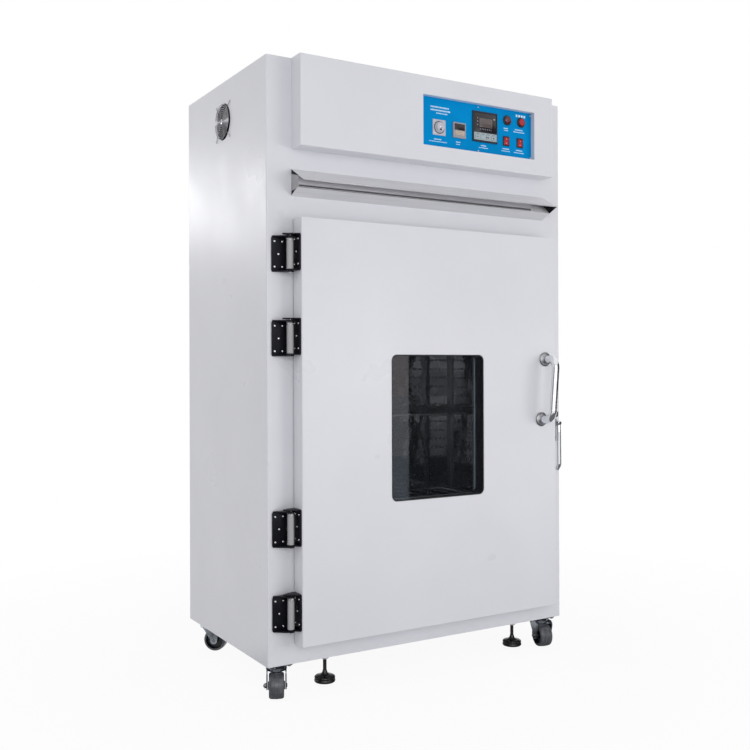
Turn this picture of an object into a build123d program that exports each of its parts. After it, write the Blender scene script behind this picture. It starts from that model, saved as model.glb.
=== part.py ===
"""Floor-standing hot-air drying oven on casters, in millimetres.

Everything is modelled in cabinet coordinates: x runs right from the cabinet's left side,
y runs back from its front plane (so what stands proud of the front has negative y),
and z runs up from its underside.  At the end the whole oven is moved so that the origin
lies on the floor, below the middle of its overall box.
"""
from build123d import *
import os
from math import hypot

# Cabinet
cabinet_w = 1080.0
cabinet_d = 628.0
cabinet_h = 1724.0
floor_gap = 100.0
skin = 2.0
skin_return = 20.0
corner_r = 4.0
base_t = 3.0

# Chamber
chamber_w = 840.0
chamber_d = 543.0
chamber_h = 1120.0
chamber_floor_z = 102.0
liner_t = 2.0
roof_wool = 76.0

# Air ducts inside the chamber
duct_t = 2.0
side_duct = 38.0
back_duct = 43.0
top_duct = 46.0
duct_front_gap = 2.0
perforation_r = 8.0
perforation_pitch_y = 80.0
perforation_pitch_z = 165.0
perforation_sides = 6
fan_inlet_r = 85.0

# Shelves
upright_t = 8.0
upright_w = 20.0
upright_inset = 70.0
runner_w = 16.0
runner_h = 14.0
runner_t = 1.5
runner_front = 20.0
runner_back = 30.0
shelf_levels = [288.0, 588.0, 888.0]
shelf_rod_r = 4.0
shelf_rod_over = 6.0
shelf_wire_r = 2.0
shelf_wires = 11
shelf_side_gap = 2.0
shelf_levels_used = {"shelf_lower": 0, "shelf_upper": 1}

# Heaters, circulation fan, probe
heater_r = 4.0
heater_sides = 8
heater_bend = 12.0
heater_drop = 20.0
heater_pitch = 50.0
heater_inset_x = 90.0
heater_inset_y = 60.0
heater_flange_t = 6.0
impeller_r = 120.0
impeller_gap = 8.0
impeller_h = 28.0
impeller_sheet = 2.0
impeller_blades = 12
blade_lean = 25.0
shaft_r = 7.0
shaft_hole_r = 16.0
run_clear = 0.05
motor_r = 55.0
motor_h = 105.0
motor_plate = 170.0
motor_plate_t = 5.0
motor_post_r = 8.0
motor_post_h = 84.0
motor_post_inset = 20.0
probe_r = 3.0
probe_l = 160.0
probe_flange_r = 9.0
probe_flange_t = 6.0
probe_inset = 14.0

# Door
door_w = 932.0
door_h = 1210.0
door_left = 82.0
door_bottom = 57.0
door_front = 56.0
door_back = 4.0
door_sheet = 2.0
door_corner_r = 3.0
inner_pan_y = 8.0
seal_w = 16.0
seal_offset = 12.0
seal_gap = 0.4
seal_r = 3.0

# Window
window_w = 340.0
window_h = 436.0
window_bottom = 387.0
window_r = 18.0
window_bevel = 1.4
pane_t = 5.0
inner_pane_t = 4.0
pane_lap = 14.0

# Door handle
handle_span = 196.0
handle_r = 10.0
handle_out = 55.0
handle_bend = 26.0
handle_right = 54.0
handle_mid_z = 712.0
handle_tilt = 4.8
flange_r = 21.0
flange_t = 5.0
flange_edge = 1.5

# Hinges
hinge_levels = [148.0, 386.0, 924.0, 1162.0]
hinge_h = 99.0
hinge_t = 4.0
hinge_ear_t = 3.5
hinge_leaf_w = 45.0
hinge_leaf_left = 14.0
hinge_door_leaf_w = 48.0
hinge_door_leaf_back = 3.0
hinge_pin_x = 61.0
hinge_pin_out = 25.0
hinge_pin_r = 4.0
hinge_eye_r = 11.0
hinge_barrel_r = 9.3
hinge_gap = 0.4
hinge_corner_r = 5.0

# Latch
latch_pivot_z = 656.0
latch_pivot_out = 48.0
latch_base_t = 4.0
latch_base_bottom = 597.0
latch_base_top = 672.0
latch_base_w = 22.0
latch_base_back = 34.0
latch_base_r = 4.0
latch_boss_r = 11.0
latch_pin_r = 4.0
latch_pin_head_t = 2.6
lever_x_gap = 13.6
lever_w = 14.0
lever_hub_r = 13.0
lever_grip_r = 6.0
lever_grip_l = 136.0
lever_tip_back = 9.0
lever_tip_drop = 16.0
lever_bend = 12.0
lever_lean = 2.0
finger_reach = 35.0
finger_rise = 21.0
finger_r = 3.0
finger_root_r = 4.5
finger_w = 12.0
keeper_roller_r = 4.0
keeper_roller_out = 25.5
keeper_roller_up = 29.2
keeper_cheek_t = 4.0
keeper_plate_t = 3.0
keeper_side_gap = 3.0
keeper_above = 11.0
keeper_lap = 5.5
keeper_plate_up = 38.0

# Control box
box_left = 78.0
box_right = 1001.0
box_out = 59.5
box_bottom = 1465.5
box_edge_r = 3.0
panel_left = 490.7
panel_right = 924.3
panel_bottom = 1515.0
panel_top = 1667.6
panel_recess = 17.0
panel_lap = 14.0
panel_t = 2.0

# Instruments on the panel, each placed by its centre
dial_at = (559.2, 1577.5)
timer_at = (634.7, 1577.5)
controller_at = (734.7, 1599.5)
lamp_at = (824.7, 1633.4)
button_at = (881.7, 1633.4)
rocker_power_at = (820.7, 1566.4)
rocker_heat_at = (876.7, 1566.4)
cutout_gap = 0.5
din_small = 48.0
din_large = 96.0
din_body_gap = 1.5
din_proud = 5.0
din_depth = 34.0
din_frame = 4.0
din_glass_set = 1.5
din_edge = 0.8
timer_display_from = 0.45
timer_keys_to = 0.38
controller_display_from = 0.32
controller_keys_to = 0.29
dial_plate_proud = 2.5
knob_r = 15.0
knob_h = 9.0
knob_skirt_h = 3.0
knob_skirt_r = 17.0
knob_stem_r = 3.0
knob_gap = 0.4
knob_edge = 1.2
pointer_w = 4.4
pointer_h = 1.6
pointer_inset = 2.0
round_bezel_r = 16.0
round_bezel_proud = 4.0
round_barrel_r = 13.0
round_barrel_l = 26.0
round_bore_r = 11.1
round_bezel_edge = 1.5
cap_edge = 1.0
barrel_floor = 4.0
lamp_dome_h = 5.0
lamp_slope = 2.0
button_r = 11.0
button_proud = 4.0
button_in = 12.0
rocker_bezel_w = 25.0
rocker_bezel_h = 31.0
rocker_bezel_proud = 3.0
rocker_bezel_wall = 2.7
rocker_bezel_edge = 0.8
rocker_body_l = 22.0
rocker_side_gap = 0.3
rocker_half = 11.5
rocker_crown = 5.0
rocker_tilt = 7.0
rocker_floor = 4.0
rocker_dip = 1.6
rocker_taper = 0.7

# Heat hood under the control box
hood_left = 78.0
hood_right = 1005.0
hood_t = 1.6
hood_top_z = 1408.0
hood_tip_out = 75.0
hood_tip_z = 1368.0
hood_low_z = 1331.0
hood_keel_out = 39.0
hood_keel_z = 1349.5
hood_inner_z = 1386.0
hood_end_inset = 3.0
hood_lap = 2.0

# Side cooling fan
fan_y = 318.0
fan_z = 1602.0
fan_size = 120.0
fan_depth = 25.0
fan_bore_r = 57.0
fan_hole_r = 56.0
fan_screw_pitch = 105.0
fan_hub_r = 21.0
fan_blades = 7
fan_blade_pitch = 40.0
fan_tip_gap = 2.0
fan_strut_w = 6.0
fan_stator_t = 6.0
fan_blade_t = 1.6
fan_hub_edge = 2.0
fan_spindle_r = 1.5
fan_front_gap = 2.0
guard_wire_r = 1.1
guard_rings = [14.0, 26.0, 38.0, 50.0]
guard_out = 6.0
guard_eye_r = 4.5

# Exhaust spigot and cable gland at the back
exhaust_r = 30.0
exhaust_wall = 2.0
exhaust_out = 50.0
exhaust_flange_r = 46.0
exhaust_flange_t = 3.0
exhaust_z = 1096.0
gland_x = 930.0
gland_z = 60.0
gland_bore_r = 6.5
gland_r = 13.0
gland_nut_r = 15.0
gland_nut_t = 8.0
gland_l = 26.0
gland_gap = 0.3

# Casters
caster_inset_x = 50.0
caster_inset_y = 50.0
caster_trail = 24.0
caster_plate_x = 64.0
caster_plate_y = 92.0
caster_plate_t = 4.0
caster_plate_corner = 5.0
caster_race_r = 27.0
caster_race_t = 8.0
caster_race_edge = 2.0
caster_gap = 0.3
fork_t = 4.0
fork_gap = 50.0
fork_front = 26.0
fork_skirt_out = 32.0
fork_skirt_drop = 18.0
fork_eye_r = 12.0
kingpin_r = 6.0
kingpin_head_r = 9.0
kingpin_head_t = 3.0
wheel_r = 37.5
wheel_w = 42.0
wheel_hub_w = 48.0
wheel_hub_r = 13.0
wheel_rim_r = 29.0
wheel_web_w = 20.0
wheel_edge = 4.0
axle_r = 4.0
axle_nut_r = 7.5
axle_nut_t = 7.0
caster_heading = {"front_left": 25.0, "front_right": 13.0, "rear_left": 310.0, "rear_right": 60.0}

# Levelling feet
foot_left_x = 209.0
foot_right_x = 164.0
foot_inset_y = 54.0
foot_lift = 12.0
foot_pad_r = 31.0
foot_pad_h = 17.0
foot_neck_top_r = 7.5
foot_neck_h = 15.0
foot_rod_r = 6.0
foot_rod_above = 40.0
foot_travel_up = 15.0
foot_nut_r = 12.5
foot_nut_t = 12.0
foot_boss_r = 13.0
foot_boss_h = 14.0


def block(x0, x1, y0, y1, z0, z1):
    """A box between two corners."""
    size = Box(x1 - x0, y1 - y0, z1 - z0)
    return Pos((x0 + x1) / 2, (y0 + y1) / 2, (z0 + z1) / 2) * size


def along_x(radius, x0, x1, y, z):
    """A round bar along x."""
    return Pos((x0 + x1) / 2, y, z) * Rot(0, 90, 0) * Cylinder(radius, abs(x1 - x0))


def along_y(radius, y0, y1, x, z):
    """A round bar along y."""
    return Pos(x, (y0 + y1) / 2, z) * Rot(90, 0, 0) * Cylinder(radius, abs(y1 - y0))


def along_z(radius, z0, z1, x, y):
    """A round bar along z."""
    return Pos(x, y, (z0 + z1) / 2) * Cylinder(radius, abs(z1 - z0))


def front_face(x, z, y):
    """A sketch plane that faces the room: its own x is x, its own y is z."""
    return Plane(origin=(x, y, z), x_dir=(1, 0, 0), z_dir=(0, -1, 0))


def hex_along_y(radius, y0, y1, x, z):
    """A hexagon bar along y."""
    return extrude(front_face(x, z, y1) * RegularPolygon(radius, 6), y1 - y0)


def profile_along_x(points, x0, x1):
    """A closed outline given as (y, z) points, run along x."""
    outline = make_face(Polyline(*[(x0, y, z) for y, z in points], close=True))
    return extrude(outline, x1 - x0, dir=(1, 0, 0))


def bent_sheet(points, thickness):
    """The outline of a sheet bent along (y, z) points, thickened to their left."""
    edge = []
    for i, (y, z) in enumerate(points):
        normals = []
        for a, b in ((i - 1, i), (i, i + 1)):
            if a < 0 or b >= len(points):
                continue
            dy = points[b][0] - points[a][0]
            dz = points[b][1] - points[a][1]
            run = hypot(dy, dz)
            normals.append((-dz / run, dy / run))
        ny = sum(n[0] for n in normals) / len(normals)
        nz = sum(n[1] for n in normals) / len(normals)
        stretch = thickness / (ny * ny + nz * nz)
        edge.append((y + ny * stretch, z + nz * stretch))
    return points + edge[::-1]


# Places that several pieces share
door_right = door_left + door_w
door_top = door_bottom + door_h
chamber_x0 = door_left + (door_w - chamber_w) / 2
chamber_x1 = chamber_x0 + chamber_w
chamber_mid = (chamber_x0 + chamber_x1) / 2
chamber_z1 = chamber_floor_z + chamber_h
chamber_back = skin + chamber_d
duct_x0 = chamber_x0 + side_duct + duct_t
duct_x1 = chamber_x1 - side_duct - duct_t
duct_y1 = chamber_back - back_duct - duct_t
duct_y0 = skin + duct_front_gap
baffle_z = chamber_z1 - top_duct
fan_mid_y = (duct_y0 + duct_y1) / 2
roof_z = chamber_z1 + liner_t
window_x0 = door_left + (door_w - window_w) / 2
window_x1 = window_x0 + window_w
window_z0 = door_bottom + window_bottom
window_z1 = window_z0 + window_h
pane_front = -(door_front - door_sheet)
inner_pan_front = -(inner_pan_y + door_sheet)
motor_plate_z = roof_z + motor_post_h
panel_y = -(box_out - panel_recess)
box_top = cabinet_h
foot_spots = {
    "front_left": (foot_left_x, foot_inset_y),
    "front_right": (cabinet_w - foot_right_x, foot_inset_y),
    "rear_left": (foot_left_x, cabinet_d - foot_inset_y),
    "rear_right": (cabinet_w - foot_right_x, cabinet_d - foot_inset_y),
}
caster_spots = {
    "front_left": (caster_inset_x, caster_inset_y),
    "front_right": (cabinet_w - caster_inset_x, caster_inset_y),
    "rear_left": (caster_inset_x, cabinet_d - caster_inset_y),
    "rear_right": (cabinet_w - caster_inset_x, cabinet_d - caster_inset_y),
}
motor_post_at = motor_plate / 2 - motor_post_inset
probe_x = duct_x1 - probe_inset
probe_y = duct_y1 - probe_inset
fan_screws = [(sy * fan_screw_pitch / 2, sz * fan_screw_pitch / 2) for sy in (-1, 1) for sz in (-1, 1)]


def tray(y0, y1, open_side):
    """A full-size skin with its four edges folded, open towards one side of y."""
    outer = block(0, cabinet_w, y0, y1, 0, cabinet_h)
    face_y = y0 if open_side > 0 else y1
    upright = [e for e in outer.edges().filter_by(Axis.Z) if abs(e.center().Y - face_y) < 0.1]
    outer = fillet(upright, corner_r)
    if open_side > 0:
        hollow = block(skin, cabinet_w - skin, y0 + skin, y1 + skin, skin, cabinet_h - skin)
    else:
        hollow = block(skin, cabinet_w - skin, y0 - skin, y1 - skin, skin, cabinet_h - skin)
    return outer - hollow


def front_frame():
    """Front skin, welded from two stiles, a sill and a head round the chamber's mouth."""
    folded = tray(0, skin_return, 1)
    high = cabinet_h + 1
    strips = [
        block(-1, chamber_x0, -1, skin_return + 1, -1, high),
        block(chamber_x1, cabinet_w + 1, -1, skin_return + 1, -1, high),
        block(chamber_x0, chamber_x1, -1, skin_return + 1, -1, chamber_floor_z),
        block(chamber_x0, chamber_x1, -1, skin_return + 1, chamber_z1, high),
    ]
    return [folded & strip for strip in strips]


def back_panel():
    """Back skin, with holes for the exhaust and the cable gland."""
    skin_tray = tray(cabinet_d - skin_return, cabinet_d, -1)
    duct_hole = along_y(exhaust_r, cabinet_d - 2 * skin, cabinet_d + skin, chamber_mid, exhaust_z)
    gland_hole = along_y(gland_r, cabinet_d - 2 * skin, cabinet_d + skin, gland_x, gland_z)
    return skin_tray - duct_hole - gland_hole


def side_panel(x0):
    """One side skin, between the folded edges of front and back."""
    return block(x0, x0 + skin, skin_return, cabinet_d - skin_return, 0, cabinet_h)


def side_panel_left():
    """Left skin, with the air hole of the cooling fan."""
    return side_panel(0) - along_x(fan_hole_r, -1, skin + 1, fan_y, fan_z)


def base_pan():
    """Bottom plate that the casters and the feet's bosses are bolted under."""
    pan = block(skin, cabinet_w - skin, skin_return, cabinet_d - skin_return, 0, base_t)
    for x, y in foot_spots.values():
        pan -= along_z(foot_rod_r + run_clear, -1, base_t + 1, x, y)
    return pan


def top_panel():
    """Top plate between the folded edges."""
    return block(skin, cabinet_w - skin, skin_return, cabinet_d - skin_return, cabinet_h - skin, cabinet_h)


def chamber_liner():
    """The stainless box that is heated, open to the front."""
    outer = block(chamber_x0 - liner_t, chamber_x1 + liner_t, skin, chamber_back + liner_t,
                  chamber_floor_z - liner_t, roof_z)
    hollow = block(chamber_x0, chamber_x1, skin - 1, chamber_back, chamber_floor_z, chamber_z1)
    liner = outer - hollow
    liner -= along_z(shaft_hole_r, chamber_z1 - 1, roof_z + 1, chamber_mid, fan_mid_y)
    liner -= along_y(exhaust_r - exhaust_wall, chamber_back - 1, chamber_back + liner_t + 1,
                     chamber_mid, exhaust_z)
    return liner


def cabinet_wool():
    """Slabs of mineral wool between the liner and the skins."""
    x0 = chamber_x0 - liner_t
    x1 = chamber_x1 + liner_t
    y1 = chamber_back + liner_t
    top = roof_z + roof_wool
    left = block(skin, x0, skin, cabinet_d - skin, base_t, top)
    right = block(x1, cabinet_w - skin, skin, cabinet_d - skin, base_t, top)
    back = block(x0, x1, y1, cabinet_d - skin, base_t, top)
    back -= along_y(exhaust_r, y1 - 1, cabinet_d, chamber_mid, exhaust_z)
    back -= along_y(gland_nut_r + gland_gap, cabinet_d - skin - gland_nut_t - 1, cabinet_d, gland_x, gland_z)
    floor = block(x0, x1, skin, y1, base_t, chamber_floor_z - liner_t)
    roof = block(x0, x1, skin, y1, roof_z, top)
    roof -= along_z(shaft_hole_r, roof_z - 1, top + 1, chamber_mid, fan_mid_y)
    for sx in (-1, 1):
        for sy in (-1, 1):
            roof -= along_z(motor_post_r, roof_z - 1, top + 1,
                            chamber_mid + sx * motor_post_at, fan_mid_y + sy * motor_post_at)
    slabs = [left, right, back, floor, roof]
    room = foot_rod_above + foot_travel_up + 1
    well_half = foot_rod_r + 1
    for x, y in foot_spots.values():
        well = block(x - well_half, x + well_half, y - well_half, y + well_half, 0, room)
        slabs = [slab - well for slab in slabs]
    return slabs


def perforations(length, height, first, plane):
    """A field of round holes as a cutting tool on a sketch plane."""
    columns = int((length - 2 * first) / perforation_pitch_y) + 1
    rows = int((height - 2 * first) / perforation_pitch_z) + 1
    across = GridLocations(perforation_pitch_y, perforation_pitch_z, columns, rows)
    hole = RegularPolygon(perforation_r, perforation_sides)
    return [extrude(plane * (spot * hole), 2 * duct_t, both=True) for spot in across]


def duct_panels():
    """Perforated sheets that stand off the liner's sides and back."""
    z0 = chamber_floor_z
    z1 = baffle_z
    mid_z = (z0 + z1) / 2
    mid_y = (duct_y0 + duct_y1) / 2
    first = perforation_pitch_y / 2
    sheets = []
    for side, wall_x in ((-1, duct_x0), (1, duct_x1)):
        near = min(wall_x, wall_x + side * duct_t)
        sheet = block(near, near + duct_t, duct_y0, duct_y1, z0, z1)
        plane = Plane(origin=(wall_x, mid_y, mid_z), x_dir=(0, 1, 0), z_dir=(1, 0, 0))
        sheet -= perforations(duct_y1 - duct_y0, z1 - z0, first, plane)
        liner_x = chamber_x0 if side < 0 else chamber_x1
        lip_x0 = min(liner_x, near + (duct_t if side > 0 else 0))
        lip_x1 = max(liner_x, near + (duct_t if side > 0 else 0))
        lip = block(lip_x0, lip_x1, duct_y0, duct_y0 + duct_t, z0, z1)
        sheets += [sheet, lip]
    back = block(duct_x0 - duct_t, duct_x1 + duct_t, duct_y1, duct_y1 + duct_t, z0, z1)
    plane = Plane(origin=(chamber_mid, duct_y1, mid_z), x_dir=(1, 0, 0), z_dir=(0, -1, 0))
    back -= perforations(duct_x1 - duct_x0, z1 - z0, first, plane)
    sheets.append(back)
    return sheets


def plenum_baffle():
    """Ceiling sheet under the fan, with its inlet and a lip that closes the front."""
    sheet = block(chamber_x0, chamber_x1, duct_y0, duct_y1 + duct_t, baffle_z, baffle_z + duct_t)
    lip = block(chamber_x0, chamber_x1, duct_y0, duct_y0 + duct_t, baffle_z, chamber_z1)
    inlet = along_z(fan_inlet_r, baffle_z - 1, baffle_z + duct_t + 1, chamber_mid, fan_mid_y)
    probe_hole = along_z(probe_r + 1, baffle_z - 1, baffle_z + duct_t + 1, probe_x, probe_y)
    outlets = []
    for x0, x1 in ((chamber_x0 + duct_t, duct_x0 - 2 * duct_t), (duct_x1 + 2 * duct_t, chamber_x1 - duct_t)):
        outlets.append(block(x0, x1, upright_inset, duct_y1 - upright_inset,
                             baffle_z - 1, baffle_z + duct_t + 1))
    baffle = sheet + lip - inlet - probe_hole
    for outlet in outlets:
        baffle -= outlet
    return baffle


def runner_top(level):
    """Height of a runner's shelf-bearing face."""
    return chamber_floor_z + shelf_levels[level]


def shelf_rails():
    """Four uprights on the duct sheets, and a pair of angle runners at each level."""
    pieces = []
    front_y = duct_y0 + upright_inset
    rear_y = duct_y1 - upright_inset - upright_w
    for side, wall_x in ((1, duct_x0), (-1, duct_x1)):
        face_x = wall_x + side * upright_t
        for y in (front_y, rear_y):
            pieces.append(block(min(wall_x, face_x), max(wall_x, face_x), y, y + upright_w,
                                chamber_floor_z, baffle_z))
        for level in range(len(shelf_levels)):
            z = runner_top(level)
            y0 = duct_y0 + runner_front
            y1 = duct_y1 - runner_back
            inner_x = face_x + side * runner_w
            web_x = face_x + side * runner_t
            foot = block(min(face_x, inner_x), max(face_x, inner_x), y0, y1, z - runner_t, z)
            web = block(min(face_x, web_x), max(face_x, web_x), y0, y1, z - runner_t, z + runner_h)
            pieces.append(foot + web)
    return pieces


def shelf(level):
    """A wire shelf: round frame with wires welded across it."""
    z = runner_top(level) + shelf_rod_r
    edge = upright_t + runner_t + shelf_side_gap + shelf_rod_r
    x0 = duct_x0 + edge
    x1 = duct_x1 - edge
    y0 = duct_y0 + runner_front
    y1 = duct_y1 - runner_back
    grid = along_x(shelf_rod_r, x0, x1, y0, z) + along_x(shelf_rod_r, x0, x1, y1, z)
    for x in (x0, x1):
        grid += along_y(shelf_rod_r, y0 - shelf_rod_over, y1 + shelf_rod_over, x, z)
    pitch = (x1 - x0) / (shelf_wires + 1)
    for i in range(shelf_wires):
        grid += along_y(shelf_wire_r, y0, y1, x0 + pitch * (i + 1), z + shelf_rod_r - shelf_wire_r)
    return grid


def heater_elements():
    """Two tubular hairpins under the roof, one each side of the fan."""
    pieces = []
    low = chamber_z1 - heater_drop
    seat = chamber_z1 - heater_flange_t
    y_front = duct_y0 + heater_inset_y
    y_rear = duct_y1 - heater_inset_y
    for side in (-1, 1):
        outer_x = chamber_mid + side * (chamber_w / 2 - heater_inset_x)
        inner_x = outer_x - side * heater_pitch
        route = FilletPolyline(
            (outer_x, y_rear, seat), (outer_x, y_rear, low), (outer_x, y_front, low),
            (inner_x, y_front, low), (inner_x, y_rear, low), (inner_x, y_rear, seat),
            radius=heater_bend,
        )
        start = Plane(origin=route @ 0, z_dir=route % 0)
        pieces.append(sweep(start * RegularPolygon(heater_r, heater_sides), path=route))
        margin = 3 * heater_r
        pieces.append(block(min(outer_x, inner_x) - margin, max(outer_x, inner_x) + margin,
                            y_rear - margin, y_rear + margin, seat, chamber_z1))
    return pieces


def circulation_fan():
    """Centrifugal wheel with leaning blades, on the motor's shaft."""
    top = chamber_z1 - impeller_gap
    low = top - impeller_h
    disc = along_z(impeller_r, top - impeller_sheet, top, 0, 0)
    shroud = along_z(impeller_r, low, low + impeller_sheet, 0, 0)
    shroud -= along_z(fan_inlet_r, low - 1, low + impeller_sheet + 1, 0, 0)
    wheel = disc + shroud + along_z(2 * shaft_r, low, top, 0, 0)
    blade_l = impeller_r - fan_inlet_r
    for i in range(impeller_blades):
        blade = Pos(0, 0, (low + top) / 2) * Rot(0, 0, 360 * i / impeller_blades)
        blade *= Pos(impeller_r - blade_l / 2 - 2, 0, 0) * Rot(0, 0, blade_lean)
        wheel += blade * Box(blade_l, impeller_sheet, impeller_h)
    wheel += along_z(shaft_r, low, motor_plate_z + motor_plate_t + motor_h / 2, 0, 0)
    return Pos(chamber_mid, fan_mid_y, 0) * wheel


def fan_motor():
    """Flange motor on a plate that four posts carry above the chamber's roof."""
    plate_top = motor_plate_z + motor_plate_t
    half = motor_plate / 2
    motor = block(-half, half, -half, half, motor_plate_z, plate_top)
    motor += along_z(motor_r, plate_top, plate_top + motor_h, 0, 0)
    motor = chamfer(motor.edges().group_by(Axis.Z)[-1], motor_r / 8)
    for sx in (-1, 1):
        for sy in (-1, 1):
            motor += along_z(motor_post_r, roof_z, motor_plate_z, sx * motor_post_at, sy * motor_post_at)
    motor += block(motor_r * 0.8, motor_r * 1.4, -motor_r / 3, motor_r / 3,
                   plate_top + motor_h / 3, plate_top + motor_h * 0.8)
    motor -= along_z(shaft_r + run_clear, motor_plate_z - 1, plate_top + motor_h / 2 + 1, 0, 0)
    return Pos(chamber_mid, fan_mid_y, 0) * motor


def temperature_probe():
    """Sheathed probe that hangs from the roof into the chamber's rear corner."""
    seat = chamber_z1 - probe_flange_t
    return (along_z(probe_flange_r, seat, chamber_z1, probe_x, probe_y)
            + along_z(probe_r, seat - probe_l, seat, probe_x, probe_y))


def control_box():
    """Folded box on the top of the front, with a tunnel behind its window."""
    outer = block(box_left, box_right, -box_out, 0, box_bottom, box_top)
    front = outer.faces().sort_by(Axis.Y)[0]
    outer = fillet(front.edges(), box_edge_r)
    hollow = block(box_left + skin, box_right - skin, -box_out + skin, 1, box_bottom + skin, box_top - skin)
    tunnel = block(panel_left - skin, panel_right + skin, -box_out + skin, panel_y,
                   panel_bottom - skin, panel_top + skin)
    window = block(panel_left, panel_right, -box_out - 1, panel_y + 1, panel_bottom, panel_top)
    return outer - hollow + tunnel - window


def square_hole(at, width, height):
    """A cutting block through the control panel."""
    x, z = at
    return block(x - width / 2, x + width / 2, panel_y - 1, panel_y + panel_t + 1,
                 z - height / 2, z + height / 2)


def control_panel():
    """Blue plate behind the box's window, pierced for the instruments."""
    plate = block(panel_left - panel_lap, panel_right + panel_lap, panel_y, panel_y + panel_t,
                  panel_bottom - panel_lap, panel_top + panel_lap)
    small = din_small - 2 * din_body_gap + 2 * cutout_gap
    large = din_large - 2 * din_body_gap + 2 * cutout_gap
    plate -= square_hole(dial_at, small, small)
    plate -= square_hole(timer_at, small, small)
    plate -= square_hole(controller_at, large, large)
    for at in (lamp_at, button_at):
        plate -= along_y(round_barrel_r + cutout_gap, panel_y - 1, panel_y + panel_t + 1, *at)
    for at in (rocker_power_at, rocker_heat_at):
        plate -= square_hole(at, rocker_bezel_w - 2 * din_body_gap, rocker_bezel_h - 2 * din_body_gap)
    return plate


def din_case(at, size, proud):
    """A square instrument: flange on the panel, smaller body behind it."""
    x, z = at
    half = size / 2
    flange = block(x - half, x + half, panel_y - proud, panel_y, z - half, z + half)
    front = flange.faces().sort_by(Axis.Y)[0]
    flange = chamfer(front.edges(), din_edge)
    inner = half - din_body_gap
    return flange + block(x - inner, x + inner, panel_y, panel_y + din_depth, z - inner, z + inner)


def din_pocket(at, size, share_low, share_high, depth):
    """A shallow window in an instrument's face, between two shares of its height."""
    x, z = at
    half = size / 2 - din_frame
    z0 = z - half + 2 * half * share_low
    z1 = z - half + 2 * half * share_high
    return block(x - half, x + half, panel_y - din_proud - 1, panel_y - din_proud + depth, z0, z1)


def timer():
    """Square timer with a sunk display over a key field."""
    case = din_case(timer_at, din_small, din_proud)
    case -= din_pocket(timer_at, din_small, timer_display_from, 1.0, din_glass_set)
    return case - din_pocket(timer_at, din_small, 0.0, timer_keys_to, din_glass_set / 3)


def controller():
    """Large square temperature controller with a sunk display and a flat key strip."""
    case = din_case(controller_at, din_large, din_proud)
    case -= din_pocket(controller_at, din_large, controller_display_from, 1.0, din_glass_set)
    return case - din_pocket(controller_at, din_large, 0.0, controller_keys_to, din_glass_set / 3)


def overheat_dial():
    """Scale plate and body of the overheat thermostat."""
    x, z = dial_at
    case = din_case(dial_at, din_small, dial_plate_proud)
    stem_hole = along_y(knob_stem_r + run_clear, panel_y - din_proud, panel_y + din_depth / 2, x, z)
    return case - stem_hole


def overheat_knob():
    """Knob with a skirt and a pointer bar, on its stem."""
    x, z = dial_at
    seat = panel_y - dial_plate_proud - knob_gap
    knob = along_y(knob_skirt_r, seat - knob_skirt_h, seat, x, z)
    knob += along_y(knob_r, seat - knob_h, seat, x, z)
    knob = chamfer(knob.edges().group_by(Axis.Y)[0], knob_edge)
    bar = block(x - pointer_w / 2, x + pointer_w / 2, seat - knob_h - pointer_h, seat - knob_h + knob_gap,
                z - knob_r + pointer_inset, z + knob_r - pointer_inset / 2)
    return knob + bar + along_y(knob_stem_r, seat, panel_y + din_depth / 2 - 1, x, z)


def round_bezel(at):
    """Black ring and barrel that a lamp or button sits in."""
    x, z = at
    ring = along_y(round_bezel_r, panel_y - round_bezel_proud, panel_y, x, z)
    ring = chamfer(ring.edges().group_by(Axis.Y)[0], round_bezel_edge)
    barrel = along_y(round_barrel_r, panel_y, panel_y + round_barrel_l, x, z)
    bore = along_y(round_bore_r, panel_y - round_bezel_proud - 1, panel_y + round_barrel_l - barrel_floor, x, z)
    return ring + barrel - bore


def rocker_bezel(at):
    """Rectangular black frame with the pocket that a rocker tips in."""
    x, z = at
    half_w = rocker_bezel_w / 2
    half_h = rocker_bezel_h / 2
    frame = block(x - half_w, x + half_w, panel_y - rocker_bezel_proud, panel_y, z - half_h, z + half_h)
    front = frame.faces().sort_by(Axis.Y)[0]
    frame = chamfer(front.edges(), rocker_bezel_edge)
    body_w = half_w - din_body_gap - cutout_gap
    body_h = half_h - din_body_gap - cutout_gap
    frame += block(x - body_w, x + body_w, panel_y, panel_y + rocker_body_l, z - body_h, z + body_h)
    pocket_w = half_w - rocker_bezel_wall
    pocket_h = half_h - rocker_bezel_wall
    return frame - block(x - pocket_w, x + pocket_w, panel_y - rocker_bezel_proud - 1,
                         panel_y + rocker_body_l - barrel_floor, z - pocket_h, z + pocket_h)


def switch_bezels():
    """The frames of the lamp, the push button and the two rockers."""
    return [round_bezel(lamp_at), round_bezel(button_at),
            rocker_bezel(rocker_power_at), rocker_bezel(rocker_heat_at)]


def alarm_lamp():
    """Lens with a low conical crown, seated in its bezel."""
    x, z = lamp_at
    face = panel_y - round_bezel_proud
    lens = along_y(round_bore_r, face - lamp_dome_h, panel_y + round_barrel_l - barrel_floor, x, z)
    return chamfer(lens.edges().group_by(Axis.Y)[0], lamp_slope, lamp_dome_h - 1)


def push_button():
    """Round cap that slides in its bezel."""
    x, z = button_at
    face = panel_y - round_bezel_proud
    cap = along_y(button_r, face - button_proud, face + button_in, x, z)
    return chamfer(cap.edges().group_by(Axis.Y)[0], cap_edge)


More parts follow.
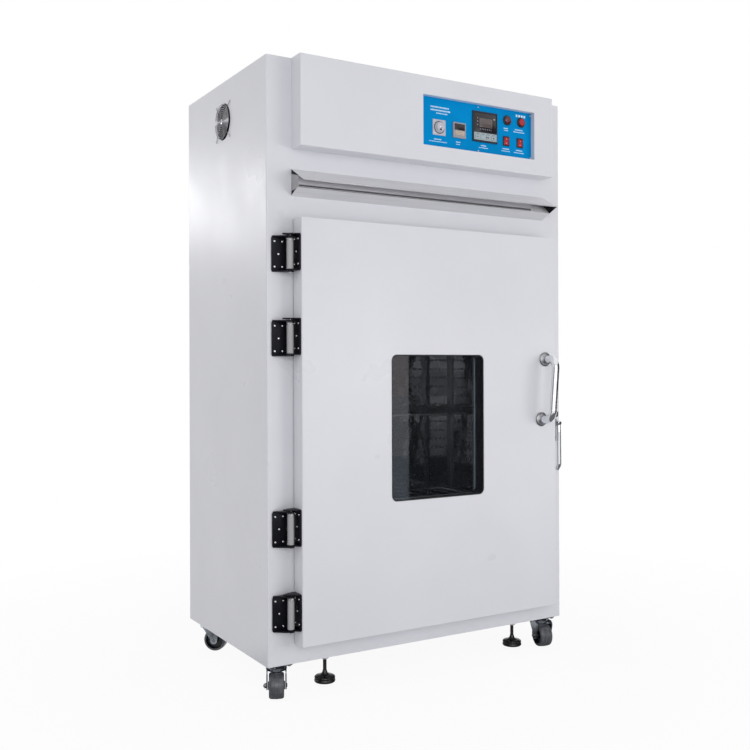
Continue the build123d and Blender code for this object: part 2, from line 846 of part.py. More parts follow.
def rocker(at):
    """Rocker with a hollow-backed V face, tipped to its rest position about its pivot."""
    x, z = at
    half_w = rocker_bezel_w / 2 - rocker_bezel_wall - rocker_side_gap
    crown = -rocker_crown
    foot = rocker_half * rocker_taper
    outline = [(crown, rocker_half), (crown + rocker_dip, 0), (crown, -rocker_half),
               (rocker_floor, -foot), (rocker_floor, foot)]
    cap = profile_along_x(outline, -half_w, half_w)
    return Pos(x, panel_y - rocker_bezel_proud + rocker_crown - 1, z) * Rot(rocker_tilt, 0, 0) * cap


def heat_hood():
    """Polished awning: a sloping top plate over a V rail, closed by end plates."""
    top = [(0, hood_top_z), (-hood_tip_out, hood_tip_z)]
    rail = [(0, hood_low_z), (-hood_keel_out, hood_keel_z), (0, hood_inner_z)]
    pieces = [profile_along_x(bent_sheet(top, hood_t), hood_left, hood_right)]
    pieces.append(profile_along_x(bent_sheet(rail[::-1], hood_t), hood_left, hood_right))
    ends = [(0, hood_top_z - 2 * hood_lap), (-hood_tip_out + 4 * hood_lap, hood_tip_z),
            (-hood_keel_out, hood_keel_z + hood_lap), (0, hood_inner_z + hood_lap)]
    for x in (hood_left + hood_end_inset, hood_right - hood_end_inset - hood_t):
        pieces.append(profile_along_x(ends, x, x + hood_t))
    room = block(hood_left, hood_right, -hood_tip_out, 0, hood_low_z, hood_top_z)
    return [piece & room for piece in pieces]


def fan_guard():
    """Guard of flat wire: rings on two crossed arms that end in screw eyes on the skin."""
    reach = fan_screw_pitch / 2
    ring_x = -guard_out
    arm_x = ring_x + guard_wire_r
    rings = []
    for radius in guard_rings:
        ring = along_x(radius + guard_wire_r, ring_x - guard_wire_r, arm_x, fan_y, fan_z)
        rings.append(ring - along_x(radius - guard_wire_r, ring_x - guard_out, 0, fan_y, fan_z))
    arms = None
    for tilt in (45, -45):
        arm = Pos(arm_x + guard_wire_r, fan_y, fan_z) * Rot(tilt, 0, 0)
        arm *= Box(2 * guard_wire_r, 2 * guard_wire_r, 2 * hypot(reach, reach) - guard_eye_r)
        arms = arm if arms is None else arms + arm
    for dy, dz in fan_screws:
        arms += along_x(guard_eye_r, arm_x, 0, fan_y + dy, fan_z + dz)
    return rings + [arms]


def side_fan_frame():
    """Square fan housing behind the skin, with struts that carry the stator."""
    half = fan_size / 2
    x0 = skin
    x1 = skin + fan_depth
    frame = block(x0, x1, fan_y - half, fan_y + half, fan_z - half, fan_z + half)
    frame = fillet(frame.edges().filter_by(Axis.X), corner_r)
    frame -= along_x(fan_bore_r, x0 - 1, x1 + 1, fan_y, fan_z)
    stator_x = x1 - fan_stator_t
    frame += along_x(fan_hub_r, stator_x, x1, fan_y, fan_z)
    for turn in (30, 150, 270):
        strut = Pos(x1 - fan_stator_t / 4, fan_y, fan_z) * Rot(turn, 0, 0)
        frame += strut * Pos(0, 0, (fan_bore_r + fan_hub_r) / 2) * Box(
            fan_stator_t / 2, fan_strut_w, fan_bore_r - fan_hub_r + 4)
    return frame - along_x(fan_spindle_r + run_clear, stator_x - 1, x1 - 1, fan_y, fan_z)


def side_fan_rotor():
    """Hub with pitched blades on a short spindle in the stator."""
    stator_x = skin + fan_depth - fan_stator_t
    x0 = skin + fan_front_gap
    x1 = stator_x - knob_gap
    hub = along_x(fan_hub_r, x0, x1, 0, 0)
    hub = chamfer(hub.edges().group_by(Axis.X)[0], fan_hub_edge)
    tip = fan_bore_r - fan_tip_gap
    length = tip - fan_hub_r + 3
    for i in range(fan_blades):
        blade = Rot(360 * i / fan_blades, 0, 0) * Pos((x0 + x1) / 2, 0, tip - length / 2)
        blade *= Rot(0, 0, fan_blade_pitch)
        hub += blade * Box(fan_blade_t, fan_hub_r * 0.9, length)
    hub &= along_x(tip, x0, x1, 0, 0)
    hub += along_x(fan_spindle_r, x1 - 1, skin + fan_depth - fan_spindle_r, 0, 0)
    return Pos(0, fan_y, fan_z) * hub


def exhaust_spigot():
    """Round duct from the chamber's back, with a flange on the back skin."""
    start = chamber_back + liner_t
    end = cabinet_d + exhaust_out
    tube = along_y(exhaust_r, start, end, chamber_mid, exhaust_z)
    tube += along_y(exhaust_flange_r, cabinet_d, cabinet_d + exhaust_flange_t, chamber_mid, exhaust_z)
    return tube - along_y(exhaust_r - exhaust_wall, start - 1, end + 1, chamber_mid, exhaust_z)


def cable_gland():
    """Screwed gland in the back skin, with its lock nut inside."""
    gland = along_y(gland_r, cabinet_d - skin - gland_nut_t, cabinet_d, gland_x, gland_z)
    gland += hex_along_y(gland_nut_r, cabinet_d - skin - gland_nut_t, cabinet_d - skin, gland_x, gland_z)
    gland += hex_along_y(gland_nut_r, cabinet_d, cabinet_d + gland_nut_t, gland_x, gland_z)
    dome = along_y(gland_r, cabinet_d + gland_nut_t, cabinet_d + gland_l, gland_x, gland_z)
    gland += chamfer(dome.edges().group_by(Axis.Y)[-1], gland_r / 4)
    return gland - along_y(gland_bore_r, cabinet_d - skin - gland_nut_t - 1, cabinet_d + gland_l + 1,
                           gland_x, gland_z)


def ear(leaf_x0, leaf_x1, leaf_out0, leaf_out1, z0, thickness):
    """A hinge ear: the outline that wraps a stretch of leaf and the pin's eye."""
    plane = Plane(origin=(0, 0, z0))
    stretch = Pos((leaf_x0 + leaf_x1) / 2, -(leaf_out0 + leaf_out1) / 2) * Rectangle(
        leaf_x1 - leaf_x0, leaf_out1 - leaf_out0)
    eye = Pos(hinge_pin_x, -hinge_pin_out) * Circle(hinge_eye_r)
    outline = make_hull(stretch.edges() + eye.edges())
    return extrude(plane * outline, thickness)


def hinge_frame_leaves():
    """Leaves on the front frame, each with a top and a bottom ear round the pin."""
    leaves = []
    x1 = hinge_leaf_left + hinge_leaf_w
    for z in hinge_levels:
        low = z - hinge_h / 2
        high = z + hinge_h / 2
        leaf = block(hinge_leaf_left, x1, -hinge_t, 0, low, high)
        outer = [e for e in leaf.edges().filter_by(Axis.Y) if e.center().X < hinge_leaf_left + 1]
        leaf = fillet(outer, hinge_corner_r)
        for z0 in (low, high - hinge_ear_t):
            leaf += ear(x1 - hinge_corner_r * 3, x1, 0, hinge_t, z0, hinge_ear_t)
        leaf -= along_z(hinge_pin_r + run_clear, low - 1, high + 1, hinge_pin_x, -hinge_pin_out)
        leaves.append(leaf)
    return leaves


def hinge_door_leaves():
    """Leaves on the door's side face, nested between the frame leaves' ears."""
    leaves = []
    lift = hinge_ear_t + hinge_gap
    for z in hinge_levels:
        low = z - hinge_h / 2 + lift
        high = z + hinge_h / 2 - lift
        out0 = hinge_door_leaf_back
        out1 = out0 + hinge_door_leaf_w
        leaf = block(door_left - hinge_t, door_left, -out1, -out0, low, high)
        outer = [e for e in leaf.edges().filter_by(Axis.X) if e.center().Y < -out1 + 1]
        leaf = fillet(outer, hinge_corner_r)
        for z0 in (low, high - hinge_ear_t):
            leaf += ear(door_left - hinge_t, door_left, hinge_pin_out - hinge_eye_r,
                        hinge_pin_out + hinge_eye_r, z0, hinge_ear_t)
        leaf -= along_z(hinge_pin_r + run_clear, low - 1, high + 1, hinge_pin_x, -hinge_pin_out)
        leaves.append(leaf)
    return leaves


def hinge_pins():
    """Pins through the ears, each with the bright barrel between them."""
    pins = []
    inset = 2 * hinge_ear_t + 2 * hinge_gap
    for z in hinge_levels:
        low = z - hinge_h / 2
        high = z + hinge_h / 2
        pin = along_z(hinge_pin_r, low - 1, high + 1, hinge_pin_x, -hinge_pin_out)
        pin += along_z(hinge_barrel_r, low + inset, high - inset, hinge_pin_x, -hinge_pin_out)
        pins.append(pin)
    return pins


def window_outline(margin, corner):
    """A rounded rectangle round the window, larger by a margin."""
    return RectangleRounded(window_w + 2 * margin, window_h + 2 * margin, corner)


def window_block(margin, corner, y0, y1):
    """A rounded block over the window between two depths."""
    plane = front_face((window_x0 + window_x1) / 2, (window_z0 + window_z1) / 2, y1)
    return extrude(plane * window_outline(margin, corner), y1 - y0)


def door_shell():
    """Painted outer pan of the door, with the bevelled window hole."""
    outer = block(door_left, door_right, -door_front, -door_back, door_bottom, door_top)
    front = outer.faces().sort_by(Axis.Y)[0]
    outer = fillet(front.edges() + outer.edges().filter_by(Axis.Y), door_corner_r)
    hollow = block(door_left + door_sheet, door_right - door_sheet, pane_front, 0,
                   door_bottom + door_sheet, door_top - door_sheet)
    shell = outer - hollow - window_block(0, window_r, -door_front - 1, pane_front + 1)
    rim = [e for e in shell.edges() if abs(e.center().Y + door_front) < 0.01
           and window_x0 - 1 < e.center().X < window_x1 + 1
           and window_z0 - 1 < e.center().Z < window_z1 + 1]
    return chamfer(rim, window_bevel)


def door_inner_pan():
    """Stainless inner face of the door, with the tunnel that backs the outer pane."""
    plate = block(door_left + door_sheet, door_right - door_sheet, inner_pan_front, -inner_pan_y,
                  door_bottom + door_sheet, door_top - door_sheet)
    tunnel = window_block(door_sheet, window_r + door_sheet, pane_front + pane_t, -inner_pan_y)
    return plate + tunnel - window_block(0, window_r, pane_front, 0)


def door_wool():
    """Slab of wool that fills the door round the window tunnel."""
    slab = block(door_left + door_sheet, door_right - door_sheet, pane_front, inner_pan_front,
                 door_bottom + door_sheet, door_top - door_sheet)
    return slab - window_block(pane_lap, window_r, pane_front - 1, 0)


def window_panes():
    """Outer pane behind the shell's face and inner pane on the inner pan."""
    outer = window_block(pane_lap, window_r, pane_front, pane_front + pane_t)
    inner = window_block(pane_lap, window_r, -inner_pan_y, -inner_pan_y + inner_pane_t)
    return [outer, inner]


def door_seal():
    """Endless seal on the inner pan, round the chamber's mouth."""
    width = chamber_w + 2 * seal_offset
    height = chamber_h + 2 * seal_offset
    mid_z = (chamber_floor_z + chamber_z1) / 2
    plane = front_face(chamber_mid, mid_z, -seal_gap)
    depth = inner_pan_y - seal_gap
    ring = RectangleRounded(width + 2 * seal_w, height + 2 * seal_w, seal_w + 8)
    ring -= RectangleRounded(width, height, 8)
    seal = extrude(plane * ring, depth)
    return chamfer(seal.faces().sort_by(Axis.Y)[-1].edges(), seal_r)


def handle_centre():
    """Middle of the pull handle on the door's face."""
    return door_right - handle_right, door_bottom + handle_mid_z


def door_handle():
    """Bent round pull on two flanges, turned a little out of plumb."""
    half = handle_span / 2
    route = FilletPolyline((0, 0, -half), (0, -handle_out, -half), (0, -handle_out, half), (0, 0, half),
                           radius=handle_bend)
    pull = sweep(Plane(origin=route @ 0, z_dir=route % 0) * Circle(handle_r), path=route)
    for z in (-half, half):
        foot = along_y(flange_r, -flange_t, 0, 0, z)
        pull += chamfer(foot.edges().group_by(Axis.Y)[0], flange_edge)
    x, z = handle_centre()
    return Pos(x, -door_front, z) * Rot(0, handle_tilt, 0) * pull


def latch_base():
    """Plate on the door's edge with the boss and pin that the lever turns on."""
    plate = block(door_right, door_right + latch_base_t, -latch_base_back - latch_base_w, -latch_base_back,
                  latch_base_bottom, latch_base_top)
    plate = fillet(plate.edges().filter_by(Axis.X), latch_base_r)
    lever_x0 = door_right + lever_x_gap
    lever_x1 = lever_x0 + lever_w
    pivot = (-latch_pivot_out, latch_pivot_z)
    plate += along_x(latch_boss_r, door_right, lever_x0 - knob_gap, *pivot)
    head_x = lever_x1 + knob_gap
    plate += along_x(latch_pin_r, lever_x0 - 1, head_x + latch_pin_head_t, *pivot)
    return plate + along_x(2 * latch_pin_r, head_x, head_x + latch_pin_head_t, *pivot)


def latch_lever():
    """Lever with a hooked finger behind the pivot and a round grip that hangs from it."""
    x0 = door_right + lever_x_gap
    x1 = x0 + lever_w
    mid_x = (x0 + x1) / 2
    pivot = (-latch_pivot_out, latch_pivot_z)
    hub = along_x(lever_hub_r, x0, x1, *pivot)
    side = Plane(origin=(mid_x - finger_w / 2, *pivot), x_dir=(0, 1, 0), z_dir=(1, 0, 0))
    root = Circle(lever_hub_r * 0.6)
    knee = Pos(finger_reach, finger_rise * 0.4) * Circle(finger_root_r)
    tip = Pos(finger_reach, finger_rise) * Circle(finger_r)
    arm = extrude(side * make_hull(root.edges() + knee.edges()), finger_w)
    finger = extrude(side * make_hull(knee.edges() + tip.edges()), finger_w)
    end_z = latch_pivot_z - lever_grip_l - lever_tip_drop
    route = FilletPolyline((mid_x, -latch_pivot_out, latch_pivot_z),
                           (mid_x, -latch_pivot_out - lever_lean, latch_pivot_z - lever_grip_l),
                           (mid_x, -latch_pivot_out - lever_lean + lever_tip_back, end_z), radius=lever_bend)
    grip = sweep(Plane(origin=route @ 0, z_dir=route % 0) * Circle(lever_grip_r), path=route)
    grip += Pos(*(route @ 1)) * Sphere(lever_grip_r)
    lever = hub + arm + finger + grip
    return lever - along_x(latch_pin_r + run_clear, x0 - 1, x1 + 1, *pivot)


def latch_keeper():
    """Plate on the front frame with two cheeks and the roller that the finger hooks."""
    mid_x = door_right + lever_x_gap + lever_w / 2
    inner = finger_w / 2 + keeper_side_gap
    outer = inner + keeper_cheek_t
    roller_z = latch_pivot_z + keeper_roller_up
    z1 = roller_z + keeper_above
    z0 = roller_z - keeper_above
    plate = block(mid_x - outer - keeper_lap, mid_x + outer + keeper_lap, -keeper_plate_t, 0,
                  z0, roller_z + keeper_plate_up)
    top = plate.edges().filter_by(Axis.Y).group_by(Axis.Z)[-1]
    pieces = [fillet(top, keeper_lap)]
    reach = keeper_roller_out + keeper_roller_r + 2
    for side in (-1, 1):
        a = mid_x + side * inner
        b = mid_x + side * outer
        cheek = block(min(a, b), max(a, b), -reach, -keeper_plate_t, z0, z1)
        corner = cheek.edges().filter_by(Axis.X).group_by(Axis.Y)[0]
        pieces.append(fillet(corner, keeper_above * 0.6))
    pieces.append(along_x(keeper_roller_r, mid_x - inner, mid_x + inner, -keeper_roller_out, roller_z))
    return pieces


def caster_plates():
    """Mounting plates, each with its bearing race and the kingpin that holds the fork."""
    plates = []
    for x, y in caster_spots.values():
        race_z = -caster_plate_t - caster_race_t
        plate = block(x - caster_plate_x / 2, x + caster_plate_x / 2,
                      y - caster_plate_y / 2, y + caster_plate_y / 2, -caster_plate_t, 0)
        plate = chamfer(plate.edges().filter_by(Axis.Z), caster_plate_corner)
        race = along_z(caster_race_r, race_z, -caster_plate_t, x, y)
        plate += chamfer(race.edges().group_by(Axis.Z)[0], caster_race_edge)
        head_z = race_z - 2 * caster_gap - fork_t
        plate += along_z(kingpin_r, head_z, race_z, x, y)
        plate += along_z(kingpin_head_r, head_z - kingpin_head_t, head_z, x, y)
        plates.append(plate)
    return plates


def caster_turn(name):
    """Placement of a caster whose own x runs from the swivel away from the wheel."""
    x, y = caster_spots[name]
    return Pos(x, y, 0) * Rot(0, 0, 90 - caster_heading[name])


def axle_height():
    """Height of the wheels' axles in cabinet coordinates."""
    return wheel_r - floor_gap


def caster_fork(name):
    """Pressed fork: crown, legs that narrow to the axle, skirt, axle bolt and nut."""
    top = -caster_plate_t - caster_race_t - caster_gap
    crown_z = top - fork_t
    axle_z = axle_height()
    back = -caster_trail - fork_skirt_out
    outer = fork_gap / 2 + fork_t
    crown = block(back, fork_front, -outer, outer, crown_z, top)
    crown = fillet(crown.edges().filter_by(Axis.Z).group_by(Axis.X)[-1], outer * 0.6)
    skirt = block(back, back + fork_t, -outer, outer, top - fork_skirt_drop, top)
    fork = crown + skirt
    for side in (-1, 1):
        near = side * fork_gap / 2
        far = side * outer
        plane = Plane(origin=(0, max(near, far), 0), x_dir=(1, 0, 0), z_dir=(0, -1, 0))
        band = Pos((back + fork_front * 0.4) / 2, top - fork_skirt_drop / 2) * Rectangle(
            fork_front * 0.4 - back, fork_skirt_drop)
        eye = Pos(-caster_trail, axle_z) * Circle(fork_eye_r)
        fork += extrude(plane * make_hull(band.edges() + eye.edges()), fork_t)
    fork -= along_z(kingpin_r + run_clear, crown_z - 1, top + 1, 0, 0)
    reach = outer + axle_nut_t
    fork += along_y(axle_r, -reach, reach + 2, -caster_trail, axle_z)
    for y0, y1 in ((-reach, -outer), (outer, reach)):
        fork += hex_along_y(axle_nut_r, y0, y1, -caster_trail, axle_z)
    return caster_turn(name) * fork


def caster_wheel(name):
    """Wheel with a shouldered tread, a web and a wide hub, bored to run on the axle."""
    half = wheel_w / 2
    hub = wheel_hub_w / 2
    web = wheel_web_w / 2
    bore = axle_r + run_clear
    side = [(wheel_r, half - wheel_edge), (wheel_r - wheel_edge / 2, half), (wheel_rim_r, half),
            (wheel_rim_r - 2, web), (wheel_hub_r, web), (wheel_hub_r, hub), (bore, hub)]
    outline = side + [(r, -h) for r, h in side[::-1]]
    section = make_face(Polyline(*[(r, 0, h) for r, h in outline], close=True))
    wheel = revolve(section, Axis.Z)
    return caster_turn(name) * Pos(-caster_trail, 0, axle_height()) * Rot(90, 0, 0) * wheel


def levelling_foot(name):
    """Round pad with a conical neck on a threaded rod."""
    x, y = foot_spots[name]
    low = foot_lift - floor_gap
    top = low + foot_pad_h
    neck = top + foot_neck_h
    outline = [(0, low), (foot_pad_r - 2, low), (foot_pad_r, low + 2), (foot_pad_r, top - 3),
               (foot_pad_r / 2, top + foot_neck_h * 0.2), (foot_neck_top_r, neck),
               (foot_rod_r, neck), (foot_rod_r, foot_rod_above), (0, foot_rod_above)]
    section = make_face(Polyline(*[(r, 0, z) for r, z in outline], close=True))
    return Pos(x, y, 0) * revolve(section, Axis.Z)


def foot_nuts():
    """Bosses under the bottom plate and the lock nuts below them."""
    pieces = []
    for x, y in foot_spots.values():
        boss = along_z(foot_boss_r, -foot_boss_h, 0, x, y)
        nut = Pos(x, y, -foot_boss_h - foot_nut_t) * extrude(RegularPolygon(foot_nut_r, 6), foot_nut_t)
        rod = along_z(foot_rod_r + run_clear, -foot_boss_h - foot_nut_t - 1, 1, x, y)
        pieces.append(boss - rod)
        pieces.append(nut - rod)
    return pieces


nodes = {
    "base_pan": base_pan,
    "side_panel_left": side_panel_left,
    "side_panel_right": lambda: side_panel(cabinet_w - skin),
    "top_panel": top_panel,
    "back_panel": back_panel,
    "front_frame": front_frame,
    "chamber_liner": chamber_liner,
    "cabinet_wool": cabinet_wool,
    "duct_panels": duct_panels,
    "plenum_baffle": plenum_baffle,
    "shelf_rails": shelf_rails,
    "heater_elements": heater_elements,
    "temperature_probe": temperature_probe,
    "fan_motor": fan_motor,
    "circulation_fan": circulation_fan,
    "control_box": control_box,
    "control_panel": control_panel,
    "overheat_dial": overheat_dial,
    "overheat_knob": overheat_knob,
    "timer": timer,
    "controller": controller,
    "alarm_lamp": alarm_lamp,
    "switch_bezels": switch_bezels,
    "push_button": push_button,
    "rocker_power": lambda: rocker(rocker_power_at),
    "rocker_heat": lambda: rocker(rocker_heat_at),
    "heat_hood": heat_hood,
    "fan_guard": fan_guard,
    "side_fan_frame": side_fan_frame,
    "side_fan_rotor": side_fan_rotor,
    "exhaust_spigot": exhaust_spigot,
    "cable_gland": cable_gland,
    "hinge_frame_leaves": hinge_frame_leaves,
    "hinge_door_leaves": hinge_door_leaves,
    "hinge_pins": hinge_pins,
    "door_shell": door_shell,
    "door_inner_pan": door_inner_pan,
    "door_wool": door_wool,
    "window_panes": window_panes,
    "door_seal": door_seal,
    "door_handle": door_handle,
    "latch_base": latch_base,
    "latch_lever": latch_lever,
    "latch_keeper": latch_keeper,
    "caster_plates": caster_plates,
    "foot_nuts": foot_nuts,
}
for shelf_name, shelf_level in shelf_levels_used.items():
    nodes[shelf_name] = lambda level=shelf_level: shelf(level)
for corner in caster_spots:
    nodes["caster_fork_" + corner] = lambda c=corner: caster_fork(c)
    nodes["caster_wheel_" + corner] = lambda c=corner: caster_wheel(c)
    nodes["foot_" + corner] = lambda c=corner: levelling_foot(c)

# The overall box runs from the pull handle in front to the exhaust spigot behind
front_reach = door_front + handle_out + handle_r
rear_reach = cabinet_d + exhaust_out
place = Pos(-cabinet_w / 2, -(rear_reach - front_reach) / 2, floor_gap)

os.makedirs("parts", exist_ok=True)
for node_name, make in nodes.items():
    made = make()
    pieces = made if isinstance(made, list) else [made]
    solids = [solid for piece in pieces for solid in (place * piece).solids()]
    shape = solids[0] if len(solids) == 1 else Compound(children=solids)
    export_step(shape, "parts/" + node_name + ".step")
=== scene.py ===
"""Looks of the drying oven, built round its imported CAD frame.

Lengths in the mesh code are millimetres in cabinet coordinates, as in the part's source:
x runs right from the cabinet's left side, y back from its front plane, z up from its underside.
A piece is turned into the row frame, in metres, when its mesh is finished.
"""

from math import cos, pi, radians, sin, tan

import bmesh
import bpy
from mathutils import Matrix, Vector


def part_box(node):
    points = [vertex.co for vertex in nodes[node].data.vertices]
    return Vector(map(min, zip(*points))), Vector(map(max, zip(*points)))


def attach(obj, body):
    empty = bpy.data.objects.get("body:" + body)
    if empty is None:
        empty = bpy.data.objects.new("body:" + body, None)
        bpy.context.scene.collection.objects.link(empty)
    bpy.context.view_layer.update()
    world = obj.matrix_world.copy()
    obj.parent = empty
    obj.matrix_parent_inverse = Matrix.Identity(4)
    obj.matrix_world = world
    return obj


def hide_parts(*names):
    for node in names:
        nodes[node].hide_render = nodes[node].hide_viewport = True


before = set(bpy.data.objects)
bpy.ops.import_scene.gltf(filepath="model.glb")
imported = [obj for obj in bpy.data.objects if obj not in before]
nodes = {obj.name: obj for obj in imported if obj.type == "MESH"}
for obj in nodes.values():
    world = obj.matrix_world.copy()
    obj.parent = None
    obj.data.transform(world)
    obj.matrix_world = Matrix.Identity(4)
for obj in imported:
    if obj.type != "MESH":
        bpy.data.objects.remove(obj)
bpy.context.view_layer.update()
scene = bpy.context.scene
MM = 0.001
LEFT, FRONT, DOWN = (-1, 0, 0), (0, -1, 0), (0, 0, -1)
RIGHT, BACK, UP = (1, 0, 0), (0, 1, 0), (0, 0, 1)
CORNERS = ((-1, -1), (-1, 1), (1, -1), (1, 1))
ORIGIN = Vector(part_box("front_frame")[0])
TO_ROW = Matrix.Translation(ORIGIN) @ Matrix.Diagonal((MM, MM, MM, 1))

# Dimensions repeated from the part's source, in millimetres
CABINET = (1080, 628, 1724)
DOOR_X = (82, 1014)
DOOR_FRONT = -56
PANEL_Y = -42.5
PANEL_X = (490.7, 924.3)
HINGE_Z = (148, 386, 924, 1162)
HINGE_PIN = (61, -25)
DUCT_X = (168, 928)
DUCT_Y = (4, 500)
DUCT_Z = (102, 1176)
CHAMBER_X = (128, 968)
DUCT_T = 2
WINDOW = (378, 718, 444, 880)
FAN_AT = (318, 1602)
DIAL = (559.2, 1577.5)
TIMER = (634.7, 1577.5)
CONTROLLER = (734.7, 1599.5)
LAMP = (824.7, 1633.4)
BUTTON = (881.7, 1633.4)
POWER = (820.7, 1566.4)
HEAT = (876.7, 1566.4)
LATCH_X = 1034.6
LATCH_PIVOT = (-48, 656)
HANDLE = (960, 769)
HOOD_X = (78, 1005)
EXHAUST = (548, 1096)
CASTERS = {
    "front_left": (50, 50, 25),
    "front_right": (1030, 50, 13),
    "rear_left": (50, 578, 310),
    "rear_right": (1030, 578, 60),
}
FEET = {
    "front_left": (209, 54),
    "front_right": (916, 54),
    "rear_left": (209, 574),
    "rear_right": (916, 574),
}


# Materials

def noise(tree, vector, size, detail):
    """A noise texture whose features are about size metres across."""
    node = tree.nodes.new("ShaderNodeTexNoise")
    node.inputs["Scale"].default_value = 1 / size
    node.inputs["Detail"].default_value = detail
    tree.links.new(vector, node.inputs["Vector"])
    return node.outputs["Fac"]


def span(tree, value, low, high, cut=(0.3, 0.7)):
    """Maps the middle of a noise's range to low..high."""
    node = tree.nodes.new("ShaderNodeMapRange")
    for socket, end in zip(("From Min", "From Max", "To Min", "To Max"), (*cut, low, high)):
        node.inputs[socket].default_value = end
    tree.links.new(value, node.inputs["Value"])
    return node.outputs["Result"]


def mixed(tree, factor, first, second):
    """Mixes two colours by a factor."""
    node = tree.nodes.new("ShaderNodeMix")
    node.data_type = "RGBA"
    node.inputs["A"].default_value = (*first, 1)
    node.inputs["B"].default_value = (*second, 1)
    tree.links.new(factor, node.inputs["Factor"])
    return node.outputs["Result"]


def material(name, color, second, rough, metallic, patch, grain=(), rough_span=0.05,
             stretch=(1, 1, 1), specular=0.5, coat=0, alpha=1, ior=1.5):
    """A surface that varies in colour and gloss over patches, given by their size in mm.

    The grain is a row of bump layers, each a size in mm and a height in micrometres.
    """
    made = bpy.data.materials.new(name)
    made.use_nodes = True
    tree = made.node_tree
    shader = tree.nodes["Principled BSDF"]
    values = {"Metallic": metallic, "Specular IOR Level": specular, "Coat Weight": coat,
              "Coat Roughness": 0.08, "Alpha": alpha, "IOR": ior}
    for socket, value in values.items():
        shader.inputs[socket].default_value = value
    place = tree.nodes.new("ShaderNodeTexCoord").outputs["Object"]
    mapping = tree.nodes.new("ShaderNodeMapping")
    mapping.inputs["Scale"].default_value = stretch
    tree.links.new(place, mapping.inputs["Vector"])
    spot = mapping.outputs["Vector"]
    share = span(tree, noise(tree, spot, patch * MM, 4), 0, 1)
    tree.links.new(mixed(tree, share, color, second), shader.inputs["Base Color"])
    gloss = noise(tree, spot, patch * MM * 0.6, 3)
    gloss = span(tree, gloss, rough - rough_span, rough + rough_span)
    tree.links.new(gloss, shader.inputs["Roughness"])
    normal = None
    for size, height in zip(grain[::2], grain[1::2]):
        bump = tree.nodes.new("ShaderNodeBump")
        bump.inputs["Strength"].default_value = 1
        bump.inputs["Distance"].default_value = height * MM * MM
        tree.links.new(noise(tree, spot, size * MM, 2), bump.inputs["Height"])
        if normal is not None:
            tree.links.new(normal, bump.inputs["Normal"])
        normal = bump.outputs["Normal"]
    if normal is not None:
        tree.links.new(normal, shader.inputs["Normal"])
    return made


BRUSHED = (0.06, 1, 1)
paint = material(
    "powder_coat", (0.735, 0.74, 0.785), (0.7, 0.705, 0.75), 0.32, 0, 350, (3.5, 160, 0.9, 30))
stainless = material(
    "stainless", (0.5, 0.51, 0.52), (0.4, 0.41, 0.43), 0.32, 1, 12, (3, 50), stretch=BRUSHED)
duct_steel = material(
    "duct_steel", (0.48, 0.49, 0.51), (0.4, 0.41, 0.43), 0.07, 1, 100,
    (190, 11000, 50, 1200, 4, 20), rough_span=0.03)
polished = material(
    "polished_steel", (0.66, 0.67, 0.7), (0.56, 0.57, 0.6), 0.22, 1, 20, (4, 40),
    stretch=(0.05, 1, 1))
zinc = material("zinc_plate", (0.58, 0.6, 0.62), (0.42, 0.44, 0.47), 0.3, 1, 12, (3, 60))
chrome = material("chrome", (0.8, 0.81, 0.83), (0.74, 0.75, 0.78), 0.055, 1, 30, rough_span=0.025)
hinge_black = material(
    "hinge_black", (0.006, 0.0065, 0.01), (0.009, 0.0095, 0.014), 0.34, 0, 30, (1.5, 40),
    specular=0.12)
barrel_steel = material(
    "barrel_sleeve", (0.43, 0.43, 0.44), (0.38, 0.38, 0.39), 0.5, 0, 10, (2, 30),
    stretch=(1, 1, 0.08), specular=0.35)
pin_steel = material("pin_steel", (0.46, 0.46, 0.47), (0.36, 0.36, 0.38), 0.36, 0.8, 6, (2, 30))
screw_steel = material("screw_steel", (0.8, 0.8, 0.82), (0.62, 0.62, 0.65), 0.24, 1, 4, (1, 20))
dark_steel = material("dark_steel", (0.05, 0.05, 0.06), (0.09, 0.09, 0.1), 0.34, 0.6, 10, (2, 50))
heater_steel = material(
    "heat_tinted_steel", (0.22, 0.19, 0.17), (0.32, 0.26, 0.2), 0.38, 1, 50, (3, 40))
blue = material(
    "panel_blue", (0, 0.235, 0.56), (0, 0.27, 0.65), 0.45, 0, 90, (1.2, 20), specular=0.03)
satin = material(
    "satin_steel", (0.56, 0.56, 0.58), (0.48, 0.48, 0.5), 0.34, 1, 14, (4, 50), stretch=BRUSHED)
hood_light = material(
    "hood_light", (0.76, 0.76, 0.78), (0.69, 0.69, 0.71), 0.38, 0.2, 14, (4, 40), stretch=BRUSHED)
# Darker grey copy of the hood steel, painted shade on the box face under the top plate.
hood_front_painted_shade = material(
    "hood_front_painted_shade", (0.5, 0.49, 0.52), (0.43, 0.42, 0.45), 0.36, 0.5, 14, (4, 40), stretch=BRUSHED)
# Paler copy of the hood steel, painted light on the rail's fold face.
fold_painted_light = material("hood_fold_painted_light", (0.86, 0.86, 0.88), (0.8, 0.8, 0.82), 0.42, 0.1, 20, (4, 40))
hood_shade = material(
    "hood_shade", (0.2, 0.2, 0.215), (0.27, 0.27, 0.285), 0.4, 0.7, 14, (4, 50), stretch=BRUSHED)
# Mid-grey copy of the hood steel, painted shade on the hood's left end cap.
cap_painted_shade = material("hood_cap_painted_shade", (0.36, 0.36, 0.375), (0.43, 0.43, 0.445), 0.45, 0.4, 20, (3, 40))
# Near-black painted shade: the dark bands under the hood's top plate, its end gaps and its right
# end.
hood_painted_shade = material(
    "hood_painted_shade", (0.012, 0.012, 0.016), (0.02, 0.02, 0.024), 0.5, 0, 20, (2, 40), specular=0.15)
guard_chrome = material(
    "guard_chrome", (0.42, 0.42, 0.45), (0.34, 0.34, 0.37), 0.16, 1, 10, (2, 20))
